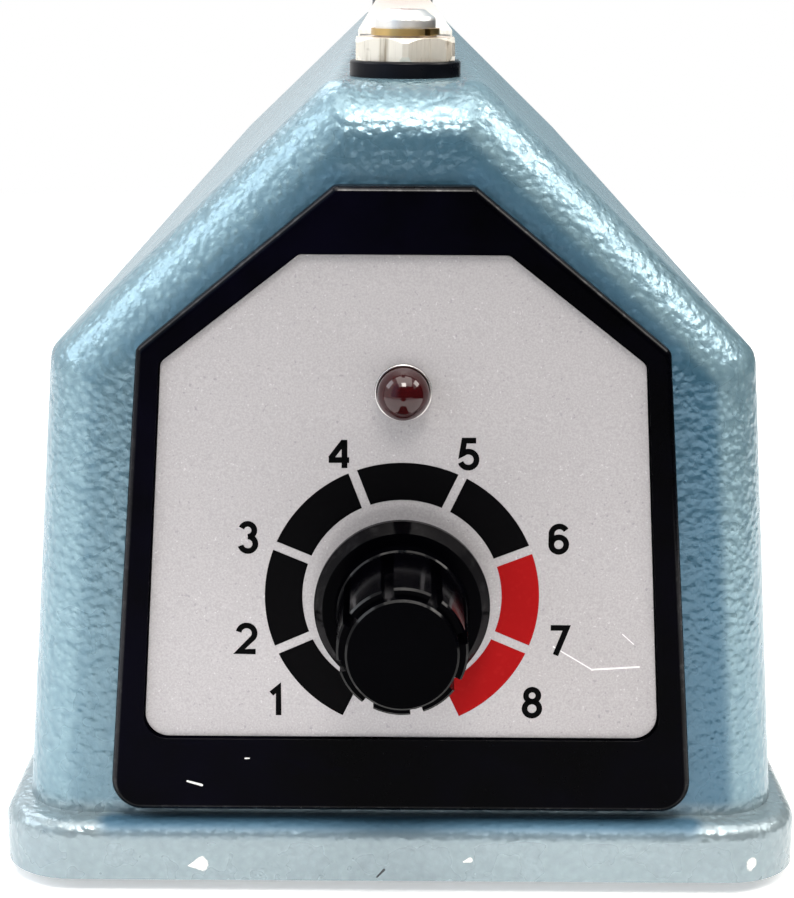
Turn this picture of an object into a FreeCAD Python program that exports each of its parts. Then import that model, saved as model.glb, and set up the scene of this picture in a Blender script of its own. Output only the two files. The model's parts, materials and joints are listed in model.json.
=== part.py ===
import FreeCAD, Part
import math
import os

import Sketcher

# Hand impulse heat sealer in millimetres, each piece a separate solid.
# The control panel faces -Y, X runs left to right and Z points up.
# The origin lies on the table, under the middle of the base.

Vector = FreeCAD.Vector
Rotation = FreeCAD.Rotation

DIMENSIONS = {
    # cutting tools: how far they run past a face, and right through a wall
    "over": 1.0,
    "through": 20.0,
    "run_gap": 0.05,
    # base flange and house-shaped shell
    "base_length": 290.0,
    "base_width": 80.0,
    "rim": 1.5,
    "flange_height": 5.8,
    "flange_corner": 7.4,
    "flange_edge": 1.5,
    "front_ledge": 3.2,
    "foot_half": 37.9,
    "shoulder_half": 34.75,
    "shoulder_height": 51.5,
    "shoulder_inset": 0.45,
    "ridge_half": 7.4,
    "ridge_height": 77.7,
    "ridge_inset": 0.4,
    "panel_lean": 2.4,
    "wall": 3.2,
    "end_round": 6.5,
    "long_round": 2.5,
    "window_half": 17.0,
    "window_low": 17.0,
    "window_high": 54.0,
    "top_hole": 4.05,
    # bottom cover, feet and their screws
    "cover_edge": 4.0,
    "cover_recess": 2.5,
    "cover_thick": 1.5,
    "cover_gap": 0.2,
    "cover_hole": 2.1,
    "post_radius": 5.0,
    "post_height": 18.0,
    "post_x": 27.0,
    "post_y": 122.0,
    "post_drill": 1.7,
    "post_drill_depth": 13.0,
    "post_rib_length": 8.0,
    "post_rib_thick": 4.0,
    "foot_radius": 7.0,
    "foot_bore": 2.2,
    "foot_recess": 4.2,
    "foot_sink": 1.8,
    "foot_edge": 1.0,
    # bezel and dial plate, heights measured up the leaning panel
    "bezel_thick": 2.5,
    "bezel_low": 1.1,
    "bezel_low_half": 28.75,
    "bezel_mid": 47.1,
    "bezel_mid_half": 25.4,
    "bezel_top": 62.6,
    "bezel_top_half": 6.6,
    "bezel_corner": 3.0,
    "bezel_shoulder_round": 1.0,
    "bezel_edge": 0.8,
    "bezel_post": 2.5,
    "bezel_pilot": 1.25,
    "bezel_hole": 2.8,
    "bezel_post_low": 12.0,
    "bezel_post_low_half": 23.0,
    "bezel_post_high": 41.0,
    "bezel_post_high_half": 20.5,
    "plate_thick": 0.3,
    "plate_recess": 0.6,
    "plate_low": 8.7,
    "plate_low_half": 25.2,
    "plate_mid": 45.8,
    "plate_mid_half": 23.05,
    "plate_top": 56.1,
    "plate_top_half": 9.9,
    "plate_gap": 0.15,
    "plate_corner": 2.3,
    "plate_shoulder_round": 0.8,
    "slab_spread": 0.4,
    # lamp
    "lamp_up": 43.0,
    "lamp_radius": 2.5,
    "lamp_hole": 2.75,
    "lens_back": 0.4,
    "lens_rise": 1.0,
    "lens_lip": 0.45,
    "lens_lip_thick": 1.0,
    "holder_radius": 4.0,
    "holder_depth": 8.0,
    # time knob, heights measured from the dial plate
    "dial_up": 22.9,
    "dial_hole": 3.6,
    "knob_gap": 3.0,
    "knob_height": 16.6,
    "knob_skirt": 8.4,
    "knob_rim": 0.7,
    "knob_ledge": 2.1,
    "knob_ledge_radius": 7.55,
    "knob_step": 1.0,
    "knob_step_radius": 6.2,
    "knob_barrel": 5.85,
    "knob_cap": 5.05,
    "knob_cap_rise": 1.1,
    "knob_edge": 0.2,
    "knob_roof": 3.0,
    "knob_ribs": 8.0,
    "flute_floor": 0.5,
    "flute_mouth": 0.9,
    "shaft_radius": 3.0,
    "shaft_tail": 6.0,
    # time control behind the panel
    "pot_radius": 8.0,
    "pot_depth": 7.0,
    "pot_lid": 2.0,
    "pot_neck": 3.5,
    "pot_tag_width": 1.2,
    "pot_tag_length": 6.0,
    "pot_tag_thick": 0.6,
    "pot_tag_pitch": 5.0,
    "pot_washer": 5.6,
    "pot_washer_thick": 0.5,
    "pot_nut_flats": 10.0,
    "pot_nut_height": 1.9,
    # sealing bed
    "bed_front": -119.0,
    "bed_rear": 80.0,
    "bed_half": 4.6,
    "bed_height": 3.8,
    "element_half": 1.1,
    "element_thick": 0.2,
    "eye_radius": 3.1,
    "eye_hole": 1.6,
    "tape_thick": 0.2,
    "tape_gap": 0.1,
    # heating wire terminals
    "terminal_front": -126.5,
    "terminal_rear": 88.0,
    "disc_radius": 5.5,
    "disc_thick": 1.6,
    "disc_bore": 2.5,
    "disc_neck": 3.9,
    "disc_neck_depth": 4.6,
    "disc_edge": 0.35,
    "nut_flats": 9.7,
    "crown_face": 0.5,
    "crown_corner": 0.56,
    "crown_start": 0.2,
    "post_shank": 2.4,
    "post_shank_length": 16.0,
    "post_tap": 1.5,
    "post_tap_depth": 8.0,
    "lock_radius": 3.4,
    "lock_bore": 1.65,
    "lock_thick": 0.65,
    "lock_split": 0.7,
    "inner_radius": 5.4,
    "inner_thick": 1.5,
    "inner_flats": 9.5,
    "inner_nut": 4.0,
    "inner_gap": 0.1,
    # hinge post, pin and clip
    "pivot_y": 121.0,
    "pivot_rise": 16.5,
    "open_angle": 14.0,
    "pin_radius": 2.5,
    "pin_fit": 0.02,
    "pin_play": 0.3,
    "pin_head": 4.0,
    "pin_head_thick": 1.7,
    "pin_tip": 2.4,
    "pin_neck": 2.0,
    "clip_radius": 4.4,
    "clip_thick": 0.8,
    "clip_mouth": 3.2,
    "hinge_half": 4.0,
    "hinge_half_length": 6.5,
    "hinge_round": 6.3,
    "hinge_foot_half": 6.3,
    "hinge_foot_length": 26.0,
    "hinge_foot_thick": 3.0,
    "bracket_spread": 9.75,
    "bracket_hole": 1.6,
    # arm, its jaw and its grip, measured from the hinge
    "arm_half": 8.0,
    "arm_drop": 7.0,
    "arm_tail": 8.0,
    "arm_back": 30.0,
    "arm_waist": 190.0,
    "arm_reach": 272.0,
    "arm_front_top": 3.0,
    "arm_tail_round": 6.0,
    "arm_nose_round": 4.0,
    "arm_edge": 1.6,
    "bush_radius": 3.5,
    "fork_gap": 0.2,
    "fork_depth": 14.5,
    "bar_over": 1.5,
    "bar_width": 10.0,
    "bar_thick": 3.0,
    "strip_width": 7.0,
    "strip_thick": 3.0,
    "strip_sunk": 1.0,
    "strip_edge": 0.8,
    "handle_rear": 200.0,
    "handle_front": 271.0,
    "handle_crest": 17.0,
    "handle_half": 11.0,
    "handle_edge": 3.0,
    "handle_tap": 2.0,
    "handle_pilot": 1.7,
    "handle_pilot_depth": 8.0,
    "handle_screw_rear": 248.0,
    "handle_screw_front": 264.0,
    # push rod and its spring
    "rod_y": 101.0,
    "rod_radius": 2.4,
    "rod_gap": 0.3,
    "rod_below": 20.0,
    "rod_tip": 1.0,
    "collar_radius": 5.2,
    "collar_drop": 1.6,
    "collar_thick": 1.2,
    "guide_radius": 4.0,
    "guide_depth": 7.0,
    "guide_flange": 5.6,
    "guide_thick": 1.0,
    "spring_radius": 4.2,
    "wire_radius": 0.45,
    "spring_turns": 3.5,
    # micro switch, its lever, button and bracket
    "switch_reach": 18.0,
    "switch_middle": 6.0,
    "switch_width": 10.0,
    "switch_length": 28.0,
    "switch_height": 15.8,
    "switch_aside": 0.6,
    "switch_hinge_rise": 1.4,
    "switch_hole": 1.55,
    "switch_hole_drop": 12.5,
    "switch_hole_spread": 10.5,
    "ear_thick": 1.0,
    "ear_length": 2.4,
    "ear_height": 3.4,
    "ear_apart": 2.9,
    "lever_gap": 0.9,
    "lever_pin": 0.45,
    "lever_eye": 0.95,
    "lever_width": 4.0,
    "lever_length": 21.0,
    "lever_thick": 0.4,
    "button_reach": 6.0,
    "button_width": 2.0,
    "button_length": 3.0,
    "button_height": 6.0,
    "button_gap": 0.4,
    "button_drop": 0.95,
    "bracket_thick": 1.5,
    "bracket_length": 38.0,
    "bracket_shift": 6.0,
    "shelf_width": 11.4,
    "shelf_length": 27.0,
    "shelf_thick": 2.5,
    # transformer
    "core_leg": 11.0,
    "core_stack": 34.0,
    "core_middle": -5.0,
    "bobbin_gap": 0.2,
    "bobbin_skin": 1.2,
    "cheek_gap": 0.3,
    "coil_build": 9.0,
    "coil_inset": 0.8,
    "coil_round": 4.0,
    "strap_thick": 1.2,
    "strap_inset": 4.0,
    "strap_foot": 14.0,
    "strap_hole": 2.0,
    # timer board and its parts
    "board_y": -84.0,
    "board_width": 52.0,
    "board_length": 56.0,
    "board_thick": 1.6,
    "board_lift": 8.0,
    "board_hole": 1.6,
    "board_hole_x": 22.0,
    "board_hole_y": 24.0,
    "spacer_flats": 5.5,
    "spacer_bore": 1.3,
    "relay_width": 15.5,
    "relay_length": 19.0,
    "relay_height": 15.0,
    "relay_aside": 12.0,
    "relay_ahead": 6.0,
    "relay_edge": 0.8,
    "can_radius": 4.0,
    "can_height": 12.0,
    "can_foot": 1.2,
    "can_groove": 0.4,
    "can_aside": 6.0,
    "can_pitch": 10.0,
    "can_behind": 14.0,
    "chip_width": 6.4,
    "chip_length": 9.6,
    "chip_height": 3.4,
    "chip_aside": 12.0,
    # heavy leads from the winding to the terminals
    "lead_radius": 1.9,
    "lead_aside": 22.0,
    "lead_rise": 34.0,
    "lead_foot": 50.0,
    "lead_bend_height": 48.0,
    "lead_front_run": 30.0,
    "lead_front_in": 8.0,
    "lead_front_turn": 18.5,
    "lead_front_sweep": 7.0,
    "lead_rear_run": 26.0,
    "lead_rear_in": 6.0,
    "lead_rear_turn": 12.0,
    "lead_rear_sweep": 6.5,
    # mains inlet, heights measured out from the rear wall
    "gland_height": 22.0,
    "gland_hole": 6.15,
    "gland_bore": 3.2,
    "gland_gap": 0.3,
    "gland_flats": 16.0,
    "gland_flange": 5.0,
    "gland_tail": 9.0,
    "gland_thread": 6.0,
    "gland_collet": 5.6,
    "gland_collet_end": 12.0,
    "gland_pocket": 5.1,
    "gland_seal": 5.0,
    "gland_seal_gap": 0.1,
    "gland_seal_end": 13.8,
    "cap_gap": 0.2,
    "cap_radius": 8.0,
    "cap_shoulder": 15.0,
    "cap_tip": 6.2,
    "cap_end": 21.4,
    "cap_mouth": 4.2,
    "cap_throat": 15.6,
    "cap_seat": 14.0,
    "cap_rib": 0.9,
    "cap_rib_rise": 0.6,
    "cap_rib_length": 8.5,
    "locknut_flats": 17.0,
    "locknut_height": 3.5,
    # screw heads, as shares of the head's radius or height
    "head_flat": 0.62,
    "head_side": 0.55,
    "head_round": 0.3,
    "recess_reach": 1.1,
    "recess_width": 0.24,
}

# head radius, head height, shank radius and shank length of each screw
SCREWS = {
    "bezel_screw": (3.1, 1.7, 1.2, 3.1),
    "cover_screw": (3.6, 1.7, 1.65, 14.0),
    "wire_screw": (3.0, 1.85, 1.4, 8.0),
    "bracket_screw": (2.8, 1.7, 1.5, 8.6),
    "handle_screw": (3.4, 1.8, 1.6, 17.0),
    "switch_screw": (2.7, 1.6, 1.45, 11.4),
    "strap_screw": (3.6, 2.0, 1.9, 2.6),
    "board_screw": (2.7, 1.6, 1.25, 5.0),
}
SCREW_SIZES = ("_head", "_height", "_shank", "_length")

for kind, amounts in SCREWS.items():
    for ending, amount in zip(SCREW_SIZES, amounts):
        DIMENSIONS[kind + ending] = amount

# nearness within which two lengths count as equal
TOUCH = 0.01


class Size:
    """A length that keeps its value and the sheet formula that gives it."""

    def __init__(self, value, text):
        self.value = value
        self.text = text

    def joined(self, other, sign, value):
        return Size(value, "({} {} {})".format(self.text, sign, other.text))

    def __add__(self, other):
        other = as_size(other)
        return self.joined(other, "+", self.value + other.value)

    def __sub__(self, other):
        other = as_size(other)
        return self.joined(other, "-", self.value - other.value)

    def __mul__(self, other):
        other = as_size(other)
        return self.joined(other, "*", self.value * other.value)

    def __truediv__(self, other):
        other = as_size(other)
        return self.joined(other, "/", self.value / other.value)

    def __radd__(self, other):
        return as_size(other) + self

    def __rsub__(self, other):
        return as_size(other) - self

    def __rmul__(self, other):
        return as_size(other) * self

    def __neg__(self):
        return Size(-self.value, "(-1 * {})".format(self.text))

    def __float__(self):
        return self.value


def as_size(item):
    """A plain number as a Size."""
    if isinstance(item, Size):
        return item
    return Size(float(item), "({:.6f})".format(float(item)))


def trig(name, angle):
    """Sine, cosine or tangent of an angle in degrees, as a Size."""
    value = getattr(math, name)(math.radians(angle.value))
    return Size(value, "{}({} * 1 deg)".format(name, angle.text))


doc = FreeCAD.newDocument("impulse_sealer")
sheet = doc.addObject("Spreadsheet::Sheet", "Dims")
for row, (word, amount) in enumerate(DIMENSIONS.items(), start=1):
    sheet.set("A{}".format(row), word)
    sheet.set("B{}".format(row), str(amount))
    sheet.setAlias("B{}".format(row), word)
doc.recompute()


class Sheet:
    """Reads a driving dimension by its word."""

    def __getattr__(self, name):
        return Size(float(sheet.get(name)), "Dims." + name)


d = Sheet()
NODES = []

UP = Rotation()
ALONG_X = Rotation(Vector(0, 1, 0), 90)
AGAINST_X = Rotation(Vector(0, 1, 0), -90)
PANEL = Rotation(Vector(1, 0, 0), 90 - d.panel_lean.value)
BACK = Rotation(Vector(1, 0, 0), d.panel_lean.value - 90)
OPENED = Rotation(Vector(1, 0, 0), -d.open_angle.value)

FRONT = -d.base_length / 2
FLANGE_TOP = d.rim + d.flange_height
SHOULDER = d.rim + d.shoulder_height
RIDGE = d.rim + d.ridge_height
PANEL_Y = FRONT + d.front_ledge
COVER_TOP = d.rim + d.cover_recess + d.cover_thick
LEAN = trig("tan", d.panel_lean)
PIVOT = (as_size(0), d.pivot_y, RIDGE + d.pivot_rise)
PLATE_FACE = d.bezel_thick - d.plate_recess
TURN_OVER = Rotation(Vector(1, 0, 0), 180)
KNOB_TURN = Rotation(Vector(0, 0, 1), 13.5)
LOCK_TURN = Rotation(Vector(0, 0, 1), -50)
SCREW_TURN = Rotation(Vector(0, 0, 1), 112)


def bind(item, prop, amount):
    item.setExpression(prop, as_size(amount).text)


def put(item, at, turn=UP):
    """Turn a piece and bind its place to the sheet."""
    item.Placement = FreeCAD.Placement(Vector(*[float(part) for part in at]), turn)
    for letter, part in zip("xyz", at):
        bind(item, "Placement.Base." + letter, part)
    return item


def keep(item, label):
    """Name a finished piece and list it for writing."""
    item.Label = label
    NODES.append(item)
    return item


def block(name, sizes, at, turn=UP):
    """Box whose low face is centred on the given point."""
    item = doc.addObject("Part::Box", name)
    for prop, amount in zip(("Length", "Width", "Height"), sizes):
        bind(item, prop, amount)
    length, width = as_size(sizes[0]), as_size(sizes[1])
    corner = turn.multVec(Vector(-length.value / 2, -width.value / 2, 0))
    if turn is UP:
        return put(item, (at[0] - length / 2, at[1] - width / 2, at[2]))
    return put(item, [part + step for part, step in zip(at, corner)], turn)


def rod(name, radius, height, at, turn=UP):
    item = doc.addObject("Part::Cylinder", name)
    bind(item, "Radius", radius)
    bind(item, "Height", height)
    return put(item, at, turn)


def cut(name, base, *tools):
    """Base less the tools."""
    tool = tools[0]
    if len(tools) > 1:
        tool = fuse(name + "_tools", *tools)
    item = doc.addObject("Part::Cut", name)
    item.Base = base
    item.Tool = tool
    return item


def fuse(name, *items):
    item = doc.addObject("Part::MultiFuse", name)
    item.Shapes = list(items)
    item.Refine = True
    return item


def common(name, first, second):
    item = doc.addObject("Part::Common", name)
    item.Base = first
    item.Tool = second
    return item


def rounded(name, base, radii):
    """Round the edges that each test picks, with its radius."""
    doc.recompute()
    edges = []
    for number, edge in enumerate(base.Shape.Edges, start=1):
        for test, radius in radii:
            if test(edge):
                edges.append((number, float(radius), float(radius)))
                break
    item = doc.addObject("Part::Fillet", name)
    item.Base = base
    item.Edges = edges
    return item


def outline(body, role, points, name):
    """Closed sketch through points, each held by the sheet."""
    sketch = body.newObject("Sketcher::SketchObject", name)
    plane = [item for item in body.Origin.OriginFeatures if item.Role == role][0]
    sketch.AttachmentSupport = [(plane, "")]
    sketch.MapMode = "FlatFace"
    corners = [(as_size(x), as_size(y)) for x, y in points]
    count = len(corners)
    flat = [Vector(x.value, y.value, 0) for x, y in corners]
    for index in range(count):
        line = Part.LineSegment(flat[index], flat[(index + 1) % count])
        sketch.addGeometry(line, False)
    for index in range(count):
        follower = (index + 1) % count
        sketch.addConstraint(Sketcher.Constraint("Coincident", index, 2, follower, 1))
    for index, corner in enumerate(corners):
        for kind, axis, amount in (("DistanceX", -2, corner[0]), ("DistanceY", -1, corner[1])):
            if amount.value == 0:
                sketch.addConstraint(Sketcher.Constraint("PointOnObject", index, 1, axis))
                continue
            held = Sketcher.Constraint(kind, -1, 1, index, 1, amount.value)
            number = sketch.addConstraint(held)
            sketch.setExpression("Constraints[{}]".format(number), amount.text)
    return sketch


def padded(name, role, points, length, sides="Symmetric"):
    """Body with one padded outline."""
    body = doc.addObject("PartDesign::Body", name)
    sketch = outline(body, role, points, name + "_outline")
    pad = body.newObject("PartDesign::Pad", name + "_pad")
    pad.Profile = sketch
    pad.SideType = sides
    bind(pad, "Length", length)
    body.Tip = pad
    doc.recompute()
    return body


def turned(name, points):
    """Body turned about its own Z from (radius, height) points."""
    body = doc.addObject("PartDesign::Body", name)
    sketch = outline(body, "XZ_Plane", points, name + "_outline")
    lathe = body.newObject("PartDesign::Revolution", name + "_lathe")
    lathe.Profile = sketch
    lathe.ReferenceAxis = (sketch, ["V_Axis"])
    lathe.Angle = 360
    body.Tip = lathe
    doc.recompute()
    return body


def softened(body, radius, test):
    """Round the picked edges of a body, in its own frame."""
    doc.recompute()
    tip = body.Tip
    picked = [n for n, edge in enumerate(tip.Shape.Edges, start=1) if test(edge)]
    round_over = body.newObject("PartDesign::Fillet", body.Name + "_round")
    round_over.Base = (tip, ["Edge{}".format(n) for n in picked])
    bind(round_over, "Radius", radius)
    body.Tip = round_over
    doc.recompute()
    return body


def pierced(name, outer, inner, height):
    """Round washer or bush standing on its own origin."""
    return turned(name, [(inner, 0), (outer, 0), (outer, height), (inner, height)])


def hexagon(flats):
    """Corners of a hexagon on the XY plane, by its width across flats."""
    reach = as_size(flats) / math.sqrt(3.0)
    turns = [math.radians(60 * step + 30) for step in range(6)]
    return [(reach * math.cos(turn), reach * math.sin(turn)) for turn in turns]


def hex_nut(name, flats, bore, height):
    body = padded(name, "XY_Plane", hexagon(flats), height, "One side")
    hole = rod(name + "_hole", bore, height + d.over * 2, (0, 0, -d.over))
    return cut(name + "_nut", body, hole)


def pan_screw(kind):
    """Domed screw hanging from its own origin, with a cross recess."""
    head, height, shank, length = [getattr(d, kind + ending) for ending in SCREW_SIZES]
    flat, side = head * d.head_flat, height * d.head_side
    body = turned(kind, [
        (0, -length),
        (shank, -length),
        (shank, 0),
        (head, 0),
        (head, side),
        (flat, height),
        (0, height),
    ])
    rings = (flat.value, head.value)
    middle = height.value / 2
    softened(body, height * d.head_round, lambda e: is_ring(e, rings, middle))
    reach, width = head * d.recess_reach, head * d.recess_width
    first = block(kind + "_bar", (reach, width, height), (0, 0, side))
    second = block(kind + "_cross", (width, reach, height), (0, 0, side))
    return cut(kind + "_done", body, first, second)


def is_ring(edge, radii, above):
    """Round edge of one of the radii, higher than the given height."""
    if not isinstance(edge.Curve, Part.Circle):
        return False
    near = any(abs(edge.Curve.Radius - radius) < TOUCH for radius in radii)
    return near and edge.CenterOfMass.z > above


def copies(label, master, places):
    """One node holding a copy of the master at each place."""
    doc.recompute()
    shapes = []
    for at, turn in places:
        where = FreeCAD.Placement(Vector(*[float(part) for part in at]), turn)
        copy = master.Shape.copy()
        copy.Placement = where
        shapes.append(copy)
    item = doc.addObject("Part::Feature", label)
    item.Shape = Part.makeCompound(shapes)
    return keep(item, label)


def on_panel(across, up, out):
    """Point on the leaning front panel, in the part's frame."""
    sine, cosine = trig("sin", d.panel_lean), trig("cos", d.panel_lean)
    y = PANEL_Y + sine * up - cosine * out
    z = FLANGE_TOP + cosine * up + sine * out
    return (as_size(across), y, z)


def on_arm(across, along, up):
    """Point on the raised arm, measured from its hinge."""
    moved = OPENED.multVec(Vector(float(across), float(along), float(up)))
    return [place + step for place, step in zip(PIVOT, moved)]


def end_edge(edge, plane_side):
    """True on the rim of a leaning end face of the shell."""
    def on_plane(point):
        inner = FRONT.value + d.front_ledge.value
        inner += (point.z - FLANGE_TOP.value) * LEAN.value
        return abs(plane_side * point.y - inner) < TOUCH
    points = [vertex.Point for vertex in edge.Vertexes]
    low = all(point.z < d.rim.value + TOUCH for point in points)
    return not low and all(on_plane(point) for point in points)


def long_edge(edge):
    """True on the shoulder and ridge edges that run along the shell."""
    points = [vertex.Point for vertex in edge.Vertexes]
    high = min(point.z for point in points) > FLANGE_TOP.value
    return high and edge.Length > d.base_length.value / 2


def house(name, inset, low):
    """House-shaped prism, moved inwards by a wall, down to a height."""
    slope = (d.foot_half - d.shoulder_half) / (d.shoulder_height - d.flange_height)
    foot = d.foot_half - inset + slope * (FLANGE_TOP - low)
    shoulder = (d.shoulder_half - inset, SHOULDER - inset * d.shoulder_inset)
    ridge = (d.ridge_half - inset * d.ridge_inset, RIDGE - inset)
    right = [(foot, low), shoulder, ridge]
    left = [(-x, z) for x, z in reversed(right)]
    across = padded(name + "_across", "XZ_Plane", right + left, d.base_length)
    start = PANEL_Y + inset - LEAN * (FLANGE_TOP - low)
    high = RIDGE + d.over
    end = PANEL_Y + inset + LEAN * (high - FLANGE_TOP)
    side = [(start, low), (-start, low), (-end, high), (end, high)]
    along = padded(name + "_along", "YZ_Plane", side, d.base_width)
    return common(name, across, along)


def panel_slab(name, grow, sizes, thick, corner, small):
    """House-shaped slab for the panel, in the panel's own frame."""
    low, low_half, mid, mid_half, top, top_half = sizes
    spread = grow * d.slab_spread
    right = [(low_half + grow, low - grow), (mid_half + grow, mid + spread)]
    right.append((top_half + spread, top + grow))
    left = [(-x, z) for x, z in reversed(right)]
    body = padded(name, "XY_Plane", right + left, thick, "One side")
    base = float(low - grow) + TOUCH
    middle = float(low + mid) / 2
    softened(body, corner, lambda e: upright_edge(e) and e.CenterOfMass.y < base)
    softened(body, small, lambda e: upright_edge(e) and e.CenterOfMass.y > middle)
    return body


def upright_edge(edge):
    """True on an edge that climbs."""
    return abs(edge.Vertexes[0].Z - edge.Vertexes[-1].Z) > TOUCH


def across_edge(edge):
    """True on an edge that runs from side to side over the middle."""
    return abs(edge.CenterOfMass.x) < TOUCH


def corner_places(x, y, z):
    """The four mirrored points of a rectangle at one height."""
    return [((across * x, along * y, z), UP) for across in (-1, 1) for along in (-1, 1)]


def make_housing():
    shell = rounded("shell", house("shell_block", as_size(0), d.rim), [
        (long_edge, d.long_round),
        (lambda e: end_edge(e, 1) or end_edge(e, -1), d.end_round),
    ])
    sizes = (d.base_width, d.base_length, d.flange_height)
    flange = block("flange_block", sizes, (0, 0, d.rim))
    flange = rounded("flange_corners", flange, [(upright_edge, d.flange_corner)])
    top = FLANGE_TOP.value - TOUCH
    flange = rounded("flange", flange, [(lambda e: e.CenterOfMass.z > top, d.flange_edge)])
    solid = fuse("housing_solid", shell, flange)
    cavity = house("cavity", d.wall, d.rim - d.over)
    rebate_sizes = (d.base_width - d.cover_edge * 2, d.base_length - d.cover_edge * 2,
                    d.cover_recess + d.cover_thick + d.over)
    rebate = block("rebate", rebate_sizes, (0, 0, d.rim - d.over))
    hollow = cut("housing_hollow", solid, cavity, rebate)
    posts = []
    drills = []
    for index, (at, turn) in enumerate(corner_places(d.post_x, d.post_y, COVER_TOP)):
        name = "post_{}".format(index)
        side = 1 if at[0].value > 0 else -1
        posts.append(rod(name, d.post_radius, d.post_height, at))
        rib_at = (at[0] + side * d.post_radius, at[1], at[2])
        rib_sizes = (d.post_rib_length, d.post_rib_thick, d.post_height)
        posts.append(block(name + "_rib", rib_sizes, rib_at))
        drill_at = (at[0], at[1], at[2] - d.over)
        drills.append(rod(name + "_drill", d.post_drill, d.post_drill_depth + d.over, drill_at))
    window_sizes = (d.window_half * 2, d.through, d.window_high - d.window_low)
    drills.append(block("window", window_sizes, (0, FRONT, d.rim + d.window_low)))
    for index, (across, up) in enumerate(bezel_posts()):
        at = on_panel(across, up, -d.through / 2)
        drills.append(rod("bezel_hole_{}".format(index), d.bezel_hole, d.through, at, PANEL))
    below = RIDGE - d.through / 2
    for index, along in enumerate((d.terminal_front, d.terminal_rear, d.rod_y)):
        drills.append(rod("top_hole_{}".format(index), d.top_hole, d.through, (0, along, below)))
    for index, along in enumerate(bracket_places()):
        name = "bracket_hole_{}".format(index)
        drills.append(rod(name, d.bracket_hole, d.through, (0, along, below)))
    drills.append(rod("gland_hole", d.gland_hole, d.through, gland_point(-d.through / 2), BACK))
    whole = fuse("housing_posts", hollow, *posts)
    keep(cut("housing_done", whole, *drills), "housing")


def bezel_posts():
    """Places of the four bezel posts, across and up the panel."""
    low = [(side * d.bezel_post_low_half, d.bezel_post_low) for side in (-1, 1)]
    high = [(side * d.bezel_post_high_half, d.bezel_post_high) for side in (-1, 1)]
    return low + high


def bracket_places():
    """Places along the ridge of the screws that hold hinge and switch."""
    return [d.pivot_y + side * d.bracket_spread for side in (-1, 1)]


def gland_point(out):
    """Point on the mains inlet's axis, outwards from the rear wall."""
    sine, cosine = trig("sin", d.panel_lean), trig("cos", d.panel_lean)
    up = d.gland_height - d.flange_height
    y = -PANEL_Y - sine * up + cosine * out
    z = FLANGE_TOP + cosine * up + sine * out
    return (as_size(0), y, z)


def make_base():
    width = d.base_width - d.cover_edge * 2 - d.cover_gap * 2
    length = d.base_length - d.cover_edge * 2 - d.cover_gap * 2
    plate = block("cover_plate", (width, length, d.cover_thick), (0, 0, d.rim + d.cover_recess))
    holes = []
    for index, (at, turn) in enumerate(corner_places(d.post_x, d.post_y, 0)):
        holes.append(rod("cover_hole_{}".format(index), d.cover_hole, d.through, at))
    for index, along in enumerate(strap_screws()):
        holes.append(rod("strap_drill_{}".format(index), d.strap_hole, d.through, (0, along, 0)))
    for index, (at, turn) in enumerate(board_places(0)):
        holes.append(rod("board_drill_{}".format(index), d.board_hole, d.through, at))
    keep(cut("bottom_cover_done", plate, *holes), "bottom_cover")
    tall = d.rim + d.cover_recess
    foot = turned("foot", [
        (d.foot_bore, d.foot_sink),
        (d.foot_recess, d.foot_sink),
        (d.foot_recess, 0),
        (d.foot_radius - d.foot_edge, 0),
        (d.foot_radius, d.foot_edge),
        (d.foot_radius, tall),
        (d.foot_bore, tall),
    ])
    copies("rubber_feet", foot, corner_places(d.post_x, d.post_y, 0))
    places = [(at, TURN_OVER) for at, turn in corner_places(d.post_x, d.post_y, d.foot_sink)]
    copies("cover_screws", pan_screw("cover_screw"), places)


def make_panel():
    sizes = (d.bezel_low, d.bezel_low_half, d.bezel_mid, d.bezel_mid_half, d.bezel_top,
             d.bezel_top_half)
    plate_sizes = (d.plate_low, d.plate_low_half, d.plate_mid, d.plate_mid_half, d.plate_top,
                   d.plate_top_half)
    rounds = (d.bezel_corner, d.bezel_shoulder_round)
    plate_rounds = (d.plate_corner, d.plate_shoulder_round)
    bezel = panel_slab("bezel_slab", as_size(0), sizes, d.bezel_thick, *rounds)
    face = d.bezel_thick.value - TOUCH
    softened(bezel, d.bezel_edge, lambda e: e.CenterOfMass.z > face)
    depth = d.plate_recess + d.plate_thick
    recess = panel_slab("bezel_recess", d.plate_gap, plate_sizes, depth + d.over, *plate_rounds)
    put(recess, (0, 0, d.bezel_thick - depth))
    low = -d.through / 2
    dial_hole = rod("bezel_dial_hole", d.dial_hole, d.through, (0, d.dial_up, low))
    lamp_hole = rod("bezel_lamp_hole", d.lamp_hole, d.through, (0, d.lamp_up, low))
    framed = cut("bezel_framed", bezel, recess, dial_hole, lamp_hole)
    posts = []
    pilots = []
    length = d.wall - d.cover_gap
    for index, (across, up) in enumerate(bezel_posts()):
        at = (across, up, -length)
        posts.append(rod("bezel_post_{}".format(index), d.bezel_post, length, at))
        pilots.append(rod("bezel_pilot_{}".format(index), d.bezel_pilot, length, at))
    solid = cut("bezel_done", fuse("bezel_posts", framed, *posts), *pilots)
    keep(put(solid, on_panel(0, 0, 0), PANEL), "front_bezel")
    turn = PANEL * TURN_OVER
    places = [(on_panel(across, up, -d.wall), turn) for across, up in bezel_posts()]
    copies("bezel_screws", pan_screw("bezel_screw"), places)
    plate = panel_slab("plate_slab", as_size(0), plate_sizes, d.plate_thick, *plate_rounds)
    shaft_hole = rod("plate_dial_hole", d.dial_hole, d.through, (0, d.dial_up, low))
    eye = rod("plate_lamp_hole", d.lamp_hole, d.through, (0, d.lamp_up, low))
    plate = cut("plate_done", plate, shaft_hole, eye)
    keep(put(plate, on_panel(0, 0, PLATE_FACE - d.plate_thick), PANEL), "dial_plate")


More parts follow.
